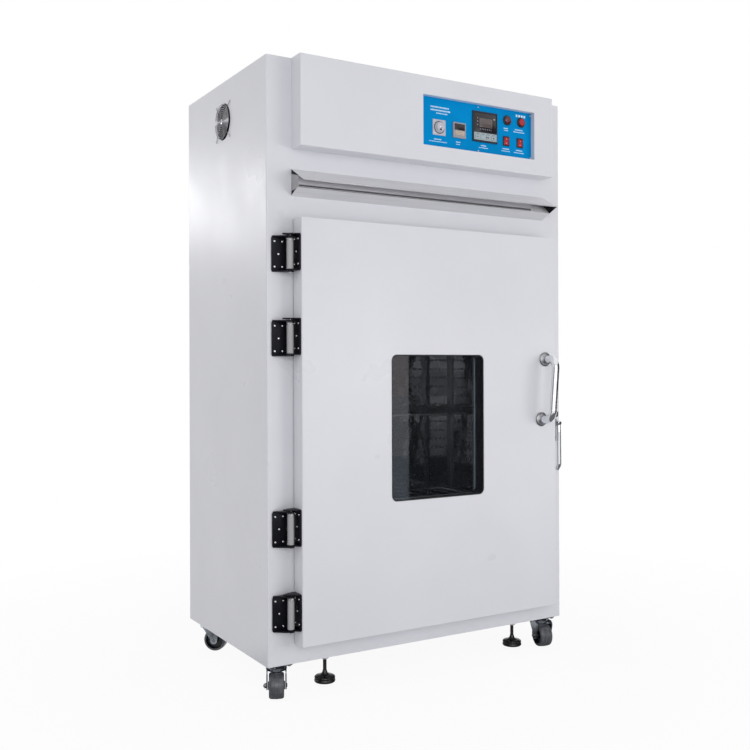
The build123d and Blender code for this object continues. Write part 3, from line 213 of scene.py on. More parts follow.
# Lit and shaded copies of zinc: the darker one is painted shade on the caster legs, caps and bolts
# under the body, the paler one painted light on the fork crowns.
zinc_painted_shade = material("zinc_painted_shade", (0.3, 0.33, 0.36), (0.19, 0.21, 0.235), 0.3, 1, 16, (4, 100))
zinc_painted_light = material("zinc_painted_light", (0.66, 0.69, 0.74), (0.5, 0.53, 0.58), 0.22, 1, 12, (3, 50))
# Dark steel for nuts and the handle's rims, and painted shade on the caster plates and bearing
# races under the body.
dark_bolts_and_painted_shade = material("dark_bolts_and_painted_shade", (0.12, 0.13, 0.14), (0.2, 0.21, 0.225), 0.3, 1, 6, (2, 40))
black_plastic = material(
    "black_plastic", (0.012, 0.012, 0.018), (0.02, 0.02, 0.028), 0.38, 0, 20, (0.6, 30))
fan_plastic = material(
    "fan_plastic", (0.02, 0.02, 0.022), (0.03, 0.03, 0.033), 0.5, 0, 20, (0.8, 40))
grey_plastic = material(
    "grey_plastic", (0.36, 0.36, 0.38), (0.3, 0.3, 0.32), 0.42, 0, 10, (0.6, 30))
light_plastic = material(
    "light_plastic", (0.56, 0.56, 0.62), (0.5, 0.5, 0.56), 0.32, 0, 10, (0.6, 20))
key_plastic = material("key_strip", (0.4, 0.48, 0.52), (0.35, 0.43, 0.47), 0.45, 0, 10, (0.6, 30))
beige = material("timer_field", (0.62, 0.5, 0.42), (0.56, 0.45, 0.38), 0.5, 0, 10, (0.6, 20))
display = material(
    "display_window", (0.105, 0.082, 0.082), (0.125, 0.1, 0.098), 0.22, 0, 20, (1, 10), coat=0.3)
segment = material("display_segments", (0.055, 0.042, 0.042), (0.07, 0.05, 0.05), 0.3, 0, 10)
gloss_black = material(
    "instrument_window", (0.012, 0.012, 0.016), (0.018, 0.018, 0.024), 0.16, 0, 30, (2, 10))
red = material(
    "switch_red", (0.46, 0.006, 0.012), (0.38, 0.004, 0.01), 0.26, 0, 6, (0.8, 20), coat=0.3)
lamp_red = material(
    "lamp_lens", (0.085, 0.004, 0.01), (0.13, 0.005, 0.012), 0.14, 0, 6, (3, 200), coat=0.6)
# White for the panel's print, and also a painted highlight on the window's trim strip.
print_and_highlight_white = material("panel_print_and_highlight", (0.72, 0.86, 0.95), (0.62, 0.8, 0.92), 0.5, 0, 2)
print_dark = material("dial_print", (0.03, 0.03, 0.05), (0.05, 0.05, 0.07), 0.4, 0, 2)
tread_rubber = material(
    "caster_tread", (0.055, 0.058, 0.066), (0.12, 0.125, 0.14), 0.34, 0, 7, (2, 100, 0.6, 30),
    rough_span=0.1, stretch=(1, 1, 0.3))
wheel_core = material(
    "wheel_core", (0.006, 0.007, 0.009), (0.012, 0.013, 0.016), 0.3, 0, 10, (1.5, 40),
    specular=0.3)
foot_rubber = material(
    "foot_pad", (0.006, 0.006, 0.006), (0.013, 0.012, 0.012), 0.22, 0, 12, (1.5, 20),
    rough_span=0.05, specular=0.5)
rod_steel = material("foot_rod", (0.055, 0.04, 0.042), (0.1, 0.078, 0.08), 0.36, 0.75, 6, (1, 40))
silicone = material("door_seal", (0.16, 0.055, 0.035), (0.21, 0.075, 0.05), 0.6, 0, 20, (1.5, 80))
wool = material(
    "mineral_wool", (0.52, 0.46, 0.3), (0.6, 0.55, 0.4), 0.95, 0, 20, (4, 1000), specular=0.1)
motor_paint = material("motor_paint", (0.09, 0.12, 0.15), (0.11, 0.14, 0.17), 0.4, 0, 30, (2, 80))
outer_glass = material(
    "outer_pane", (0.01, 0.012, 0.014), (0.012, 0.014, 0.017), 0.02, 0, 300, rough_span=0.004,
    alpha=0.34, ior=2)
inner_glass = material(
    "inner_pane", (0.012, 0.014, 0.015), (0.014, 0.016, 0.018), 0.03, 0, 300, rough_span=0.004,
    alpha=0.1, ior=1.45)
gasket = material("pane_gasket", (0.008, 0.008, 0.009), (0.013, 0.013, 0.014), 0.5, 0, 20, (1, 40))

NODE_LOOKS = (
    (paint, "base_pan side_panel_left side_panel_right top_panel back_panel front_frame "
            "control_box door_shell"),
    (stainless, "chamber_liner plenum_baffle shelf_rails circulation_fan exhaust_spigot "
                "door_inner_pan"),
    (screw_steel, "shelf_lower shelf_upper"),
    (polished, "temperature_probe"),
    (heater_steel, "heater_elements"),
    (motor_paint, "fan_motor"),
    (wool, "cabinet_wool door_wool"),
    (blue, "control_panel"),
    (light_plastic, "overheat_dial"),
    (grey_plastic, "timer"),
    (black_plastic, "controller switch_bezels cable_gland"),
    (lamp_red, "alarm_lamp"),
    (red, "push_button rocker_power rocker_heat"),
    (fan_plastic, "side_fan_frame"),
    (chrome, "latch_keeper"),
    # The caster plates take this dark colour as painted shade under the body.
    (dark_bolts_and_painted_shade, "caster_plates"),
    (silicone, "door_seal"),
)
for look, names in NODE_LOOKS:
    for node_name in names.split():
        mesh = nodes[node_name].data
        mesh.materials.clear()
        mesh.materials.append(look)


# Mesh tools

def side_vectors(axis):
    """Two unit vectors square to an axis and to each other."""
    axis = Vector(axis).normalized()
    helper = Vector(UP) if abs(axis.z) < 0.9 else Vector(BACK)
    u = helper.cross(axis).normalized()
    return u, axis.cross(u).normalized(), axis


def hexagon(least):
    """Reshapes a lathe's rings that are wider than least into hexagons."""
    def reach(angle, r):
        return r * cos(pi / 6) / cos((angle % (pi / 3)) - pi / 6) if r > least else r
    return reach


def circle(radius, r, h=0, count=8):
    """A wire's (r, height) outline for a torus."""
    turns = [2 * pi * k / count for k in range(count)]
    return [(r + radius * cos(turn), h + radius * sin(turn)) for turn in turns]


class Piece:
    """One visible piece: a mesh made of several forms, each with its material."""

    def __init__(self, name):
        self.name = name
        self.bm = bmesh.new()
        self.looks = []

    def look(self, mat):
        if mat not in self.looks:
            self.looks.append(mat)
        return self.looks.index(mat)

    def loft(self, rings, mat, caps=(True, True)):
        """Skins a row of point rings of one count each, and returns the faces of its ends."""
        index = self.look(mat)
        rows = [[self.bm.verts.new(p) for p in ring] for ring in rings]
        count = len(rows[0])
        for a, b in zip(rows, rows[1:]):
            for i in range(count):
                j = (i + 1) % count
                self.bm.faces.new((a[i], a[j], b[j], b[i])).material_index = index
        ends = [self.bm.faces.new(row) for row, closed in zip((rows[0][::-1], rows[-1]), caps)
                if closed]
        for face in ends:
            face.material_index = index
        return ends

    def soften(self, edges, width, steps):
        """Rounds edges over a width."""
        if width:
            bmesh.ops.bevel(self.bm, geom=list(edges), offset=width, segments=steps, profile=0.5,
                            affect="EDGES", clamp_overlap=True)

    def lathe(self, base, axis, profile, mat, count=40, radius=None, caps=(True, True)):
        """Turns (r, height) pairs about an axis; radius(angle, r) may reshape each ring."""
        u, v, w = side_vectors(axis)
        base = Vector(base)
        rings = []
        for r, h in profile:
            ring = []
            for i in range(count):
                angle = 2 * pi * i / count
                reach = radius(angle, r) if radius else r
                ring.append(base + w * h + (u * cos(angle) + v * sin(angle)) * reach)
            rings.append(ring)
        self.loft(rings, mat, caps)

    def torus(self, base, axis, profile, mat, count=64):
        """Turns a closed (r, height) outline about an axis."""
        u, v, w = side_vectors(axis)
        base = Vector(base)
        rings = []
        for i in range(count + 1):
            angle = 2 * pi * i / count
            out = u * cos(angle) + v * sin(angle)
            rings.append([base + out * r + w * h for r, h in profile])
        self.loft(rings, mat, (False, False))

    def tube(self, path, radii, mat, count=20):
        """A round bar along points, with one radius or one for each point."""
        points = [Vector(p) for p in path]
        if not isinstance(radii, (list, tuple)):
            radii = [radii] * len(points)
        rings = []
        u = None
        for i, p in enumerate(points):
            ahead = points[min(i + 1, len(points) - 1)] - points[max(i - 1, 0)]
            ahead.normalize()
            u = side_vectors(ahead)[0] if u is None else (u - ahead * u.dot(ahead)).normalized()
            v = ahead.cross(u)
            rings.append([p + (u * cos(2 * pi * k / count) + v * sin(2 * pi * k / count)) * radii[i]
                          for k in range(count)])
        self.loft(rings, mat)

    def box(self, low, high, mat, edge=0, steps=2):
        """A box between two corners, with rounded edges."""
        (x0, y0, z0), (x1, y1, z1) = low, high
        caps = self.loft([[(x0, y0, z), (x1, y0, z), (x1, y1, z), (x0, y1, z)] for z in (z0, z1)],
                         mat)
        corners = [vert for face in caps for vert in face.verts]
        self.soften({e for vert in corners for e in vert.link_edges}, edge, steps)

    def prism(self, outline, base, axis, depth, mat, edge=0, steps=2):
        """Runs an outline, given along the axis' two side vectors, along it, with rounded rims."""
        u, v, w = side_vectors(axis)
        base = Vector(base)
        caps = self.loft([[base + u * a + v * b + w * h for a, b in outline] for h in (0, depth)],
                         mat)
        self.soften([e for face in caps for e in face.edges], edge, steps)

    def screw(self, spot, axis, r, mat, height=None, recess="cross"):
        """A domed screw head with a cross or hexagon recess, seated at a spot."""
        height = height or r * 0.55
        deep = height * 0.55

        def cut(angle, size):
            if size > r * 0.6:
                return size
            if recess == "hex":
                return hexagon(0)(angle, size)
            turn = (angle + pi / 4) % (pi / 2) - pi / 4
            return size if abs(turn) < 0.30 else size * 0.42

        dome = [(r, -0.3), (r, height * 0.25), (r * 0.9, height * 0.7), (r * 0.66, height)]
        hollow = [(r * 0.66, height), (r * 0.58, height), (r * 0.52, height - deep)]
        self.lathe(spot, axis, dome, mat, 24, caps=(True, False))
        self.lathe(spot, axis, hollow, mat, 24, radius=cut, caps=(False, True))

    def done(self, body, slot_name, *replaced, sharp=35):
        """Finishes the mesh, places it in the row frame and rides it on its body."""
        bmesh.ops.remove_doubles(self.bm, verts=self.bm.verts, dist=0.0005)
        bmesh.ops.recalc_face_normals(self.bm, faces=self.bm.faces)
        self.bm.transform(TO_ROW)
        data = bpy.data.meshes.new(self.name)
        self.bm.to_mesh(data)
        self.bm.free()
        for mat in self.looks:
            data.materials.append(mat)
        data.polygons.foreach_set("use_smooth", [True] * len(data.polygons))
        data.set_sharp_from_angle(angle=radians(sharp))
        piece = bpy.data.objects.new(self.name, data)
        scene.collection.objects.link(piece)
        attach(piece, body)
        if replaced:
            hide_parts(*replaced)


def rounded_path(points, radius, steps=8):
    """Points of a polyline whose corners are rounded."""
    points = [Vector(p) for p in points]
    path = [points[0]]
    for before, corner, after in zip(points, points[1:], points[2:]):
        a = (before - corner).normalized()
        b = (after - corner).normalized()
        half = a.angle(b) / 2
        cut = radius / tan(half)
        centre = corner + (a + b).normalized() * radius / sin(half)
        start = corner + a * cut - centre
        end = corner + b * cut - centre
        for i in range(steps + 1):
            path.append(centre + start.slerp(end, i / steps) * radius)
    return path + [points[-1]]


def rounded_outline(width, height, radius, steps=6):
    """A rectangle's outline with rounded corners, about its middle."""
    outline = []
    for quarter, (sx, sy) in enumerate(((1, 1), (-1, 1), (-1, -1), (1, -1))):
        for i in range(steps + 1):
            angle = (quarter + i / steps) * pi / 2
            outline.append((sx * (width / 2 - radius) + radius * cos(angle),
                            sy * (height / 2 - radius) + radius * sin(angle)))
    return outline


# Hinges

def make_hinges():
    """Leaves with their gusset ears, screws in every leaf, and pins with a capped barrel."""
    pin_x, pin_y = HINGE_PIN
    eye_r = 11
    leaf_t = 4
    rim = 0.5
    screw_r, screw_h = 3.3, 1.7
    frame_side = Piece("hinge_leaves_frame")
    door_side = Piece("hinge_leaves_door")
    frame_screws = Piece("hinge_frame_screws")
    door_screws = Piece("hinge_door_screws")
    pins = Piece("hinge_barrels")

    def eye(start, end, steps=12):
        """An ear's round end about the pin, between two angles."""
        turns = [radians(start + (end - start) * i / steps) for i in range(steps + 1)]
        return [(pin_x + eye_r * cos(turn), pin_y + eye_r * sin(turn)) for turn in turns]

    def five(across, along):
        """Where a leaf's screws stand from its middle one."""
        return [(0, 0)] + [(a * across, b * along) for a, b in CORNERS]

    frame_leaf = rounded_outline(45, 99.5, 5)
    frame_ear = [(59, -0.5), (16, -0.5), (16, -leaf_t)] + eye(235, 420)
    door_leaf = rounded_outline(48, 104.1, 5)
    door_ear = [(79, -50), (79, -5)] + eye(75, 285)
    door_top = [(79, -50.4), (79, -5), (56, -12.5), (41, -18.5), (37.4, -23),
                (39, -29)]
    foot = [(3, -53), (4.4, -52.4), (4.6, -50.2), (4, -49.6), (4, -42)]
    sleeve = [(7, -41.9), (9.3, -41.4), (9.3, 39), (8.4, 39.4)]
    nut = [(8.6, 39.3), (8.6, 41.6), (9.5, 42), (9.5, 43.6), (5.6, 48.2), (3.6, 48.7), (3.6, 55)]
    for z in HINGE_Z:
        frame_side.prism(frame_leaf, (36.5, 0, z + 0.2), FRONT, leaf_t, hinge_black, rim)
        frame_side.prism(frame_ear, (0, 0, z + 48.8), UP, 3.7, hinge_black, rim)
        frame_side.prism(frame_ear, (0, 0, z - 49.5), UP, 3.4, hinge_black, rim)
        door_side.prism(door_leaf, (DOOR_X[0], -27, z + 6.45), LEFT, leaf_t, hinge_black, rim)
        door_side.prism(door_top, (0, 0, z + 55), UP, 3.5, hinge_black, rim)
        door_side.prism(door_ear, (0, 0, z - 45.6), UP, 3.5, hinge_black, 0.6)
        for dx, dz in five(12, 35.9):
            spot = (34.5 + dx, -leaf_t, z + 0.7 + dz)
            frame_screws.screw(spot, FRONT, screw_r, screw_steel, screw_h)
        for dy, dz in five(12, 35.4):
            spot = (DOOR_X[0] - leaf_t, -29 + dy, z + 8 + dz)
            door_screws.screw(spot, LEFT, screw_r, screw_steel, screw_h)
        pins.lathe((pin_x, pin_y, z), UP, foot, pin_steel, 24)
        pins.lathe((pin_x, pin_y, z), UP, sleeve, barrel_steel, 36)
        pins.lathe((pin_x, pin_y, z), UP, nut, pin_steel, 24, hexagon(9.4))
    frame_side.done("cabinet", "black_metal", "hinge_frame_leaves")
    door_side.done("door", "black_metal", "hinge_door_leaves")
    frame_screws.done("cabinet", "zinc")
    door_screws.done("door", "zinc")
    pins.done("cabinet", "polished_steel", "hinge_pins")


# Pull handle and latch

def make_handle():
    """Bent chrome bar on two stepped flanges, a little out of plumb."""
    piece = Piece("pull_handle")
    half, reach, lean = 98, 56, radians(4.8)
    turn = Matrix.Translation((HANDLE[0], DOOR_FRONT, HANDLE[1])) @ Matrix.Rotation(lean, 4, "Y")
    route = [(0, 1, -half), (0, -reach, -half), (0, -reach, half), (0, 1, half)]
    piece.tube([turn @ p for p in rounded_path(route, 30, 14)], 12.2, chrome, 40)
    flange = [(22, 0), (22, 2), (21.2, 3.4), (19.6, 4.2), (16, 4.6), (14.6, 5.6),
              (13.6, 7.8), (12.2, 8.6)]
    rim = [(20.6, 2.6), (22.6, 1.6), (22.7, 3), (21, 4.4)]
    collar = [(12, 6), (15.2, 4.6), (15.6, 5.8), (12.6, 9.4)]
    for z in (-half, half):
        base = turn @ Vector((0, 0, z))
        piece.lathe(base, FRONT, flange, satin, 48)
        piece.torus(base, FRONT, rim, dark_bolts_and_painted_shade, 48)
        piece.torus(base, FRONT, collar, pin_steel, 48)
        for side in (-1, 1):
            spot = base + Vector((side * 2, -4.2, side * 18))
            piece.screw(spot, FRONT, 2.2, pin_steel, 1.2, "hex")
    piece.done("door", "chrome", "door_handle")


def make_latch():
    """Chrome lever with its hub, hooked finger and flat grip, on a plated bracket."""
    y, z = LATCH_PIVOT
    hub_x = LATCH_X - 7
    lever = Piece("latch_handle")
    hub = [(7.6, 0), (8.6, 1.2), (8.6, 11.4), (7.6, 12.4)]
    lever.lathe((hub_x, y, z), RIGHT, hub, chrome, 40)
    route = [(LATCH_X, y, z - 4), (LATCH_X, y - 1, z - 30), (LATCH_X, y - 2, z - 138),
             (LATCH_X, y + 8, z - 152)]
    path = rounded_path(route, 12, 8)
    turns = [2 * pi * k / 28 for k in range(28)]
    sections = []
    for i, p in enumerate(path):
        ahead = (path[min(i + 1, len(path) - 1)] - path[max(i - 1, 0)]).normalized()
        down = min(1, max(0, (z - 10 - p.z) / 40))
        wide = Vector(RIGHT) * (6 + 1.2 * down)
        deep = ahead.cross(Vector(RIGHT)).normalized() * (6.4 + 0.6 * down)
        sections.append([p + wide * cos(turn) + deep * sin(turn) for turn in turns])
    end, last = path[-1], sections[-1]
    for share, step in ((0.8, 2.2), (0.4, 3.4)):
        drop = Vector((0, 0.6, -1)) * step
        sections.append([end + (p - end) * share + drop for p in last])
    lever.loft(sections, chrome)
    arm = [(4, 7), (4, -6), (35, 3.9), (39.3, 7.6), (38.2, 20), (36.5, 23.6), (33.6, 23.7),
           (31.9, 20), (30.8, 12.8), (12, 8.6)]
    lever.prism([(y + a, z + b) for a, b in arm], (hub_x + 1, 0, 0), RIGHT, 12, chrome, 1.2)
    lever.done("latch", "chrome", "latch_lever")
    bracket = Piece("latch_bracket")
    edge = DOOR_X[1]
    bracket.box((edge, -56, 597), (edge + 4, -34, 672), zinc, 1.2)
    boss = [(9.5, 0), (9.5, 9), (8.6, 10.4), (5, 10.6), (5, 25), (4.2, 25.4)]
    bracket.lathe((edge, y, z), RIGHT, boss, zinc, 32)
    for height in (606, 636):
        bracket.screw((edge + 4, -45, height), RIGHT, 3.4, screw_steel, 1.8)
    bracket.done("door", "zinc", "latch_base")
    keeper = Piece("latch_keeper_screws")
    for height in (704, 716):
        keeper.screw((LATCH_X, -3, height), FRONT, 3.6, screw_steel, 1.9)
    keeper.done("cabinet", "zinc")


# Heat hood

def make_hood():
    """Sloping top plate over a folded rail, with a box between them whose face is banded in painted
    shade, and painted shade in the end gaps and on the right end.
    """
    piece = Piece("hood_plates")
    left, right = HOOD_X
    duct_right = right - 78
    front = -44

    def run(outline, x0, x1, mat):
        """A (y, z) outline run along x."""
        piece.loft([[(x, y, z) for y, z in outline] for x in (x0, x1)], mat)

    top = [(-0.2, 1408), (-78, 1367.2), (-77.6, 1365.6), (0.2, 1406.4)]
    hem = [(-78, 1367.2), (-72, 1366.6), (-71.775, 1365.7), (-77.775, 1366.3)]
    rail = [(-0.2, 1331), (-39, 1349.5), (-38, 1351.6), (-0.2, 1333.4)]
    fold = [(-39, 1349.5), (-0.2, 1386), (-0.2, 1384), (-37.8, 1348.9)]
    run(top, left, right, hood_light)
    run(hem, left, right, satin)
    run(rail, left, right, hood_light)
    run(fold, left + 1, right - 0.6, fold_painted_light)
    # The box face's rows, top down: a darker copy of the hood steel, then near-black, dark grey
    # (hood_shade) and near-black bands, all painted shade under the top plate.
    rows = ((1381, 1357.5, front, hood_front_painted_shade), (1357.5, 1354.2, front + 8, hood_painted_shade),
            (1354.2, 1351.8, front + 2, hood_shade), (1351.8, 1349.9, front + 6, hood_painted_shade))
    for high, low, face, mat in rows:
        piece.box((left + 0.5, face, low), (duct_right, -2, high), mat, 0.3, 1)
    # The left end cap's grey, its black corner and lower gaps, and the black right end plate are
    # painted shade.
    cap = [(0, 1394), (-46, 1382), (-46, 1350), (0, 1345)]
    corner = [(0, 1407), (0, 1395), (-9, 1392.6), (-10.5, 1394.6), (-14, 1393.8),
              (-13.5, 1391.4), (-46, 1383)]
    notch = [(0, 1333.6), (-16, 1341), (-13, 1346.4), (0, 1344.8)]
    end = [(-0.2, 1386), (-39, 1349.6), (-77.8, 1367), (-1, 1407)]
    run(cap, left - 0.6, left + 0.4, cap_painted_shade)
    run(corner, left - 0.3, left + 0.6, hood_painted_shade)
    run(notch, left - 0.3, left + 0.6, hood_painted_shade)
    run(end, right - 0.4, right + 0.5, hood_painted_shade)
    piece.done("cabinet", "polished_steel", "heat_hood", sharp=25)


# Side fan

def make_side_fan():
    """Wire guard with crossed arms, and a rotor with twisted blades."""
    fan_y, fan_z = FAN_AT
    guard = Piece("fan_guard_wires")
    wire_r = 0.85
    for ring in (8.5, 15, 21.4, 27.8, 34.2, 40.6, 47, 53):
        guard.torus((-5.6, fan_y, fan_z), LEFT, circle(wire_r, ring), guard_chrome, 96)
    reach = 105 / 2
    stops = ((-4.2, 5), (-4.2, 40), (-1.4, reach - 5), (-1.4, reach - 2))
    for sy, sz in CORNERS:
        route = [(x, fan_y + sy * out, fan_z + sz * out) for x, out in stops]
        guard.tube(rounded_path(route, 5, 4), 1, guard_chrome, 10)
        spot = (0, fan_y + sy * reach, fan_z + sz * reach)
        guard.torus(spot, LEFT, circle(0.9, 3, 1.3), guard_chrome, 24)
        guard.screw((-1, spot[1], spot[2]), LEFT, 2.3, screw_steel, 1.2)
    button = [(7.6, -1), (8, 0), (8, 0.8), (7, 1.4)]
    guard.lathe((-5, fan_y, fan_z), LEFT, button, guard_chrome, 32)
    guard.done("cabinet", "dark_steel", "fan_guard")

    rotor = Piece("fan_rotor")
    hub = [(14, 0), (18.5, 0.4), (20.6, 2.4), (21, 5), (21, 16.6)]
    rotor.lathe((4, fan_y, fan_z), RIGHT, hub, fan_plastic, 40)
    blades, sections, points = 7, 6, 6
    root_r, span_r, root_chord, more_chord = 19.5, 34.5, 15, 10
    root_pitch, twist, sweep = 52, 26, 0.30
    for i in range(blades):
        rings = []
        for s in range(sections + 1):
            share = s / sections
            r = root_r + share * span_r
            chord = root_chord + share * more_chord
            pitch = radians(root_pitch - twist * share)
            turn = 2 * pi * i / blades + share * sweep
            out = Vector((0, cos(turn), sin(turn)))
            round_way = Vector((0, -sin(turn), cos(turn)))
            along = round_way * cos(pitch) + Vector(RIGHT) * sin(pitch)
            across = Vector(RIGHT) * cos(pitch) - round_way * sin(pitch)
            upper, lower = [], []
            for k in range(points + 1):
                t = k / points
                swell = 1 - (2 * t - 1) ** 2
                camber = 2.6 * swell
                thick = 0.35 + 0.75 * swell
                spot = Vector((12.3, fan_y, fan_z)) + out * r + along * (t - 0.5) * chord
                upper.append(spot + across * (camber + thick))
                lower.append(spot + across * (camber - thick))
            rings.append(upper + lower[::-1])
        rotor.loft(rings, fan_plastic)
    rotor.done("side_fan", "black_plastic", "side_fan_rotor", sharp=50)


# Control panel

def bar_word(piece, x0, z0, x1, z1, parts):
    """A line of print as plain bars between two corners."""
    pitch = (x1 - x0) / parts
    for i in range(parts):
        low = (x0 + i * pitch, PANEL_Y - 0.12, z0)
        high = (x0 + (i + 0.68) * pitch, PANEL_Y + 0.1, z1)
        piece.box(low, high, print_and_highlight_white, 0.05, 1)


def make_panel():
    """Print, screws, and the faces of the instruments."""
    marks = Piece("panel_marks")
    lines = (
        (529, 1637.2, 598, 1641.6, 14), (529, 1627.6, 603, 1632, 15),
        (550, 1619.4, 592, 1622.8, 9), (541.5, 1539.2, 569, 1542.6, 6),
        (523, 1532.6, 590, 1535, 17), (623.6, 1539.6, 641.4, 1542.8, 4),
        (624.2, 1533, 639.6, 1535.4, 5), (720, 1539.4, 741.6, 1542.8, 5),
        (712.5, 1533, 748.8, 1535.6, 11), (811.6, 1605.4, 829.4, 1608.8, 4),
        (813, 1599.6, 829.4, 1602, 5), (861, 1650.2, 903.5, 1657.6, 4),
        (857.4, 1606.4, 890.2, 1610.2, 7), (851.6, 1599.4, 897.2, 1602.2, 11),
        (807.2, 1539.8, 833.8, 1543.4, 6), (802.8, 1533, 837.4, 1535.6, 9),
        (861.5, 1540, 888.5, 1543.8, 6), (853, 1533, 895.2, 1535.6, 11),
    )
    for line in lines:
        bar_word(marks, *line)
    for x in (PANEL_X[0] + 3.5, 710, 921):
        for z in (1523, 1660.8):
            marks.screw((x, PANEL_Y, z), FRONT, 2.8, screw_steel, 1.4)
    marks.done("cabinet", "painted_white")
    make_dial()
    make_timer_face()
    make_controller_face()
    make_switch_marks()


def make_dial():
    """Dark scale ring with ticks on the dial plate, and the knob that turns in it."""
    x, z = DIAL
    face = PANEL_Y - 2.5
    scale = Piece("dial_scale")
    ring = [(17.4, 0), (19.4, 0), (19.4, 0.5), (19.1, 0.8), (17.7, 0.8), (17.4, 0.5)]
    scale.torus((x, face, z), FRONT, ring, print_dark, 64)
    for i in range(21):
        angle = radians(-135 + 270 * i / 20)
        inner, outer = (20.3, 22.2) if i % 5 == 0 else (20.6, 21.6)
        way = Vector((sin(angle), 0, cos(angle)))
        start = Vector((x, face - 0.1, z)) + way * inner
        scale.tube([start, start + way * (outer - inner)], 0.28, print_dark, 6)
    for sx, sz in CORNERS:
        scale.screw((x + sx * 20.4, face, z + sz * 20.4), FRONT, 1.5, screw_steel, 0.7)
    scale.done("cabinet", "black_plastic")
    knob = Piece("dial_knob")
    profile = [(16.6, 0.4), (17, 0.9), (17, 2.6), (16.2, 3.3), (14.9, 3.6), (14.6, 7.4),
               (13.6, 9), (12, 9.3)]
    flutes, depth = 24, 0.35

    def fluted(angle, r):
        return r - depth * (0.5 + 0.5 * cos(flutes * angle)) if 12.5 < r < 15.5 else r

    knob.lathe((x, face, z), FRONT, profile, light_plastic, 72, fluted)
    wedge = [(0, 2.6), (-6.6, 8.8), (-2.8, 11.6), (1.4, 12), (4.4, 11.2)]
    knob.prism([(b, -c) for b, c in wedge], (x, face - 9.2, z), FRONT, 0.7, print_dark, 0.2, 1)
    stud = [(3.4, 0), (3.2, 0.8), (2.4, 1.3), (1, 1.5)]
    knob.lathe((x, face - 9.2, z), FRONT, stud, chrome, 24)
    knob.done("overheat_knob", "light_plastic", "overheat_knob")


def seven_segments(piece, x, z, width, height, y):
    """One unlit digit: seven thin bars."""
    bar = height * 0.11

    def stroke(x0, z0, x1, z1):
        piece.box((x0, y - 0.06, z0), (x1, y + 0.05, z1), segment)

    for dz in (-height / 2, 0, height / 2):
        stroke(x - width / 2 + bar, z + dz - bar / 2, x + width / 2 - bar, z + dz + bar / 2)
    for edge in (x - width / 2, x + width / 2):
        for mid in (z - height / 4, z + height / 4):
            stroke(edge - bar / 2, mid - height / 4 + bar, edge + bar / 2, mid + height / 4 - bar)


def face_box(piece, at, x_span, y_span, z_span, mat, edge, steps=2):
    """A box on an instrument's face, whose spans are counted from a point."""
    spans = zip(at, (x_span, y_span, z_span))
    low, high = zip(*([middle + end for end in ends] for middle, ends in spans))
    piece.box(low, high, mat, edge, steps)


def make_timer_face():
    """Dark display over a pale key field with four small keys."""
    x, z = TIMER
    face = PANEL_Y - 5
    at = (x, face, z)
    piece = Piece("timer_face")
    face_box(piece, at, (-19.6, 19.6), (0.9, 1.6), (0.6, 19.6), gloss_black, 0.3)
    for i in range(4):
        seven_segments(piece, x - 12.9 + i * 8.6, z + 10, 5, 10, face + 0.9)
    face_box(piece, at, (-17.6, 17.6), (-0.25, 0.4), (-15.8, -2), beige, 0.3)
    for i in range(4):
        key = (x - 14.6 + i * 7.6, face, z)
        face_box(piece, key, (0, 5.6), (-0.7, 0), (-8.2, -4.4), beige, 0.35)
        face_box(piece, key, (0.6, 5), (-0.35, 0), (-12.8, -11.4), print_dark, 0.05, 1)
    piece.done("cabinet", "grey_plastic")


def make_controller_face():
    """Display window with unlit digits, lamps and ticks, over a pale strip of four keys."""
    x, z = CONTROLLER
    face = PANEL_Y - 5
    at = (x, face, z)
    piece = Piece("controller_face")
    face_box(piece, at, (-42.4, 42.4), (0.7, 1.6), (-16.5, 42.6), gloss_black, 0.5)
    face_box(piece, at, (-23.5, 27.3), (0.35, 0.9), (-1.6, 27.2), display, 0.4)
    for height, drop in ((9.6, 20), (8, 6.6)):
        for i in range(4):
            left = x - 15.6 + i * 11.6
            seven_segments(piece, left, z + drop, height * 0.62, height, face + 0.35)
    for drop in (26, 16, 5):
        spot = (x - 30.6, face + 0.8, z + drop)
        piece.lathe(spot, FRONT, [(1.5, 0), (1.4, 0.4), (0.8, 0.7)], light_plastic, 16)
    for i in range(7):
        tick = (x - 20.5 + i * 7, face, z)
        face_box(piece, tick, (0, 1.3), (0.6, 0.75), (-9.6, -5), light_plastic, 0.05, 1)
    face_box(piece, at, (32, 39), (0.6, 0.75), (26.2, 30.4), grey_plastic, 0.2, 1)
    face_box(piece, at, (-45.4, 44.6), (-0.5, 0.6), (-43, -18.6), key_plastic, 0.6)
    for i in range(4):
        left = x - 40.6 + i * 21.2
        key = (left, face, z)
        face_box(piece, key, (0, 17.2), (-1.1, 0), (-39.2, -25.6), key_plastic, 0.9, 3)
        if i == 0:
            face_box(piece, key, (4.6, 12.6), (-1.25, -1), (-33.6, -31.4), print_dark, 0.05, 1)
        elif i == 1:
            outline = [(4.6, -33), (9.4, -29.6), (9.4, -36.4)]
            piece.prism(outline, (left + 16, face - 1, z), FRONT, 0.25, print_dark)
        else:
            tip = 3.2 if i == 3 else -3.2
            outline = [(-4.2, -32.6 - tip / 2), (4.2, -32.6 - tip / 2), (0, -32.6 + tip)]
            piece.prism(outline, (left + 8.6, face - 1, z), FRONT, 0.25, print_dark)
        face_box(piece, key, (2, 15.2), (-0.65, -0.3), (-23.6, -22.4), print_dark, 0.05, 1)
    piece.done("cabinet", "black_plastic")


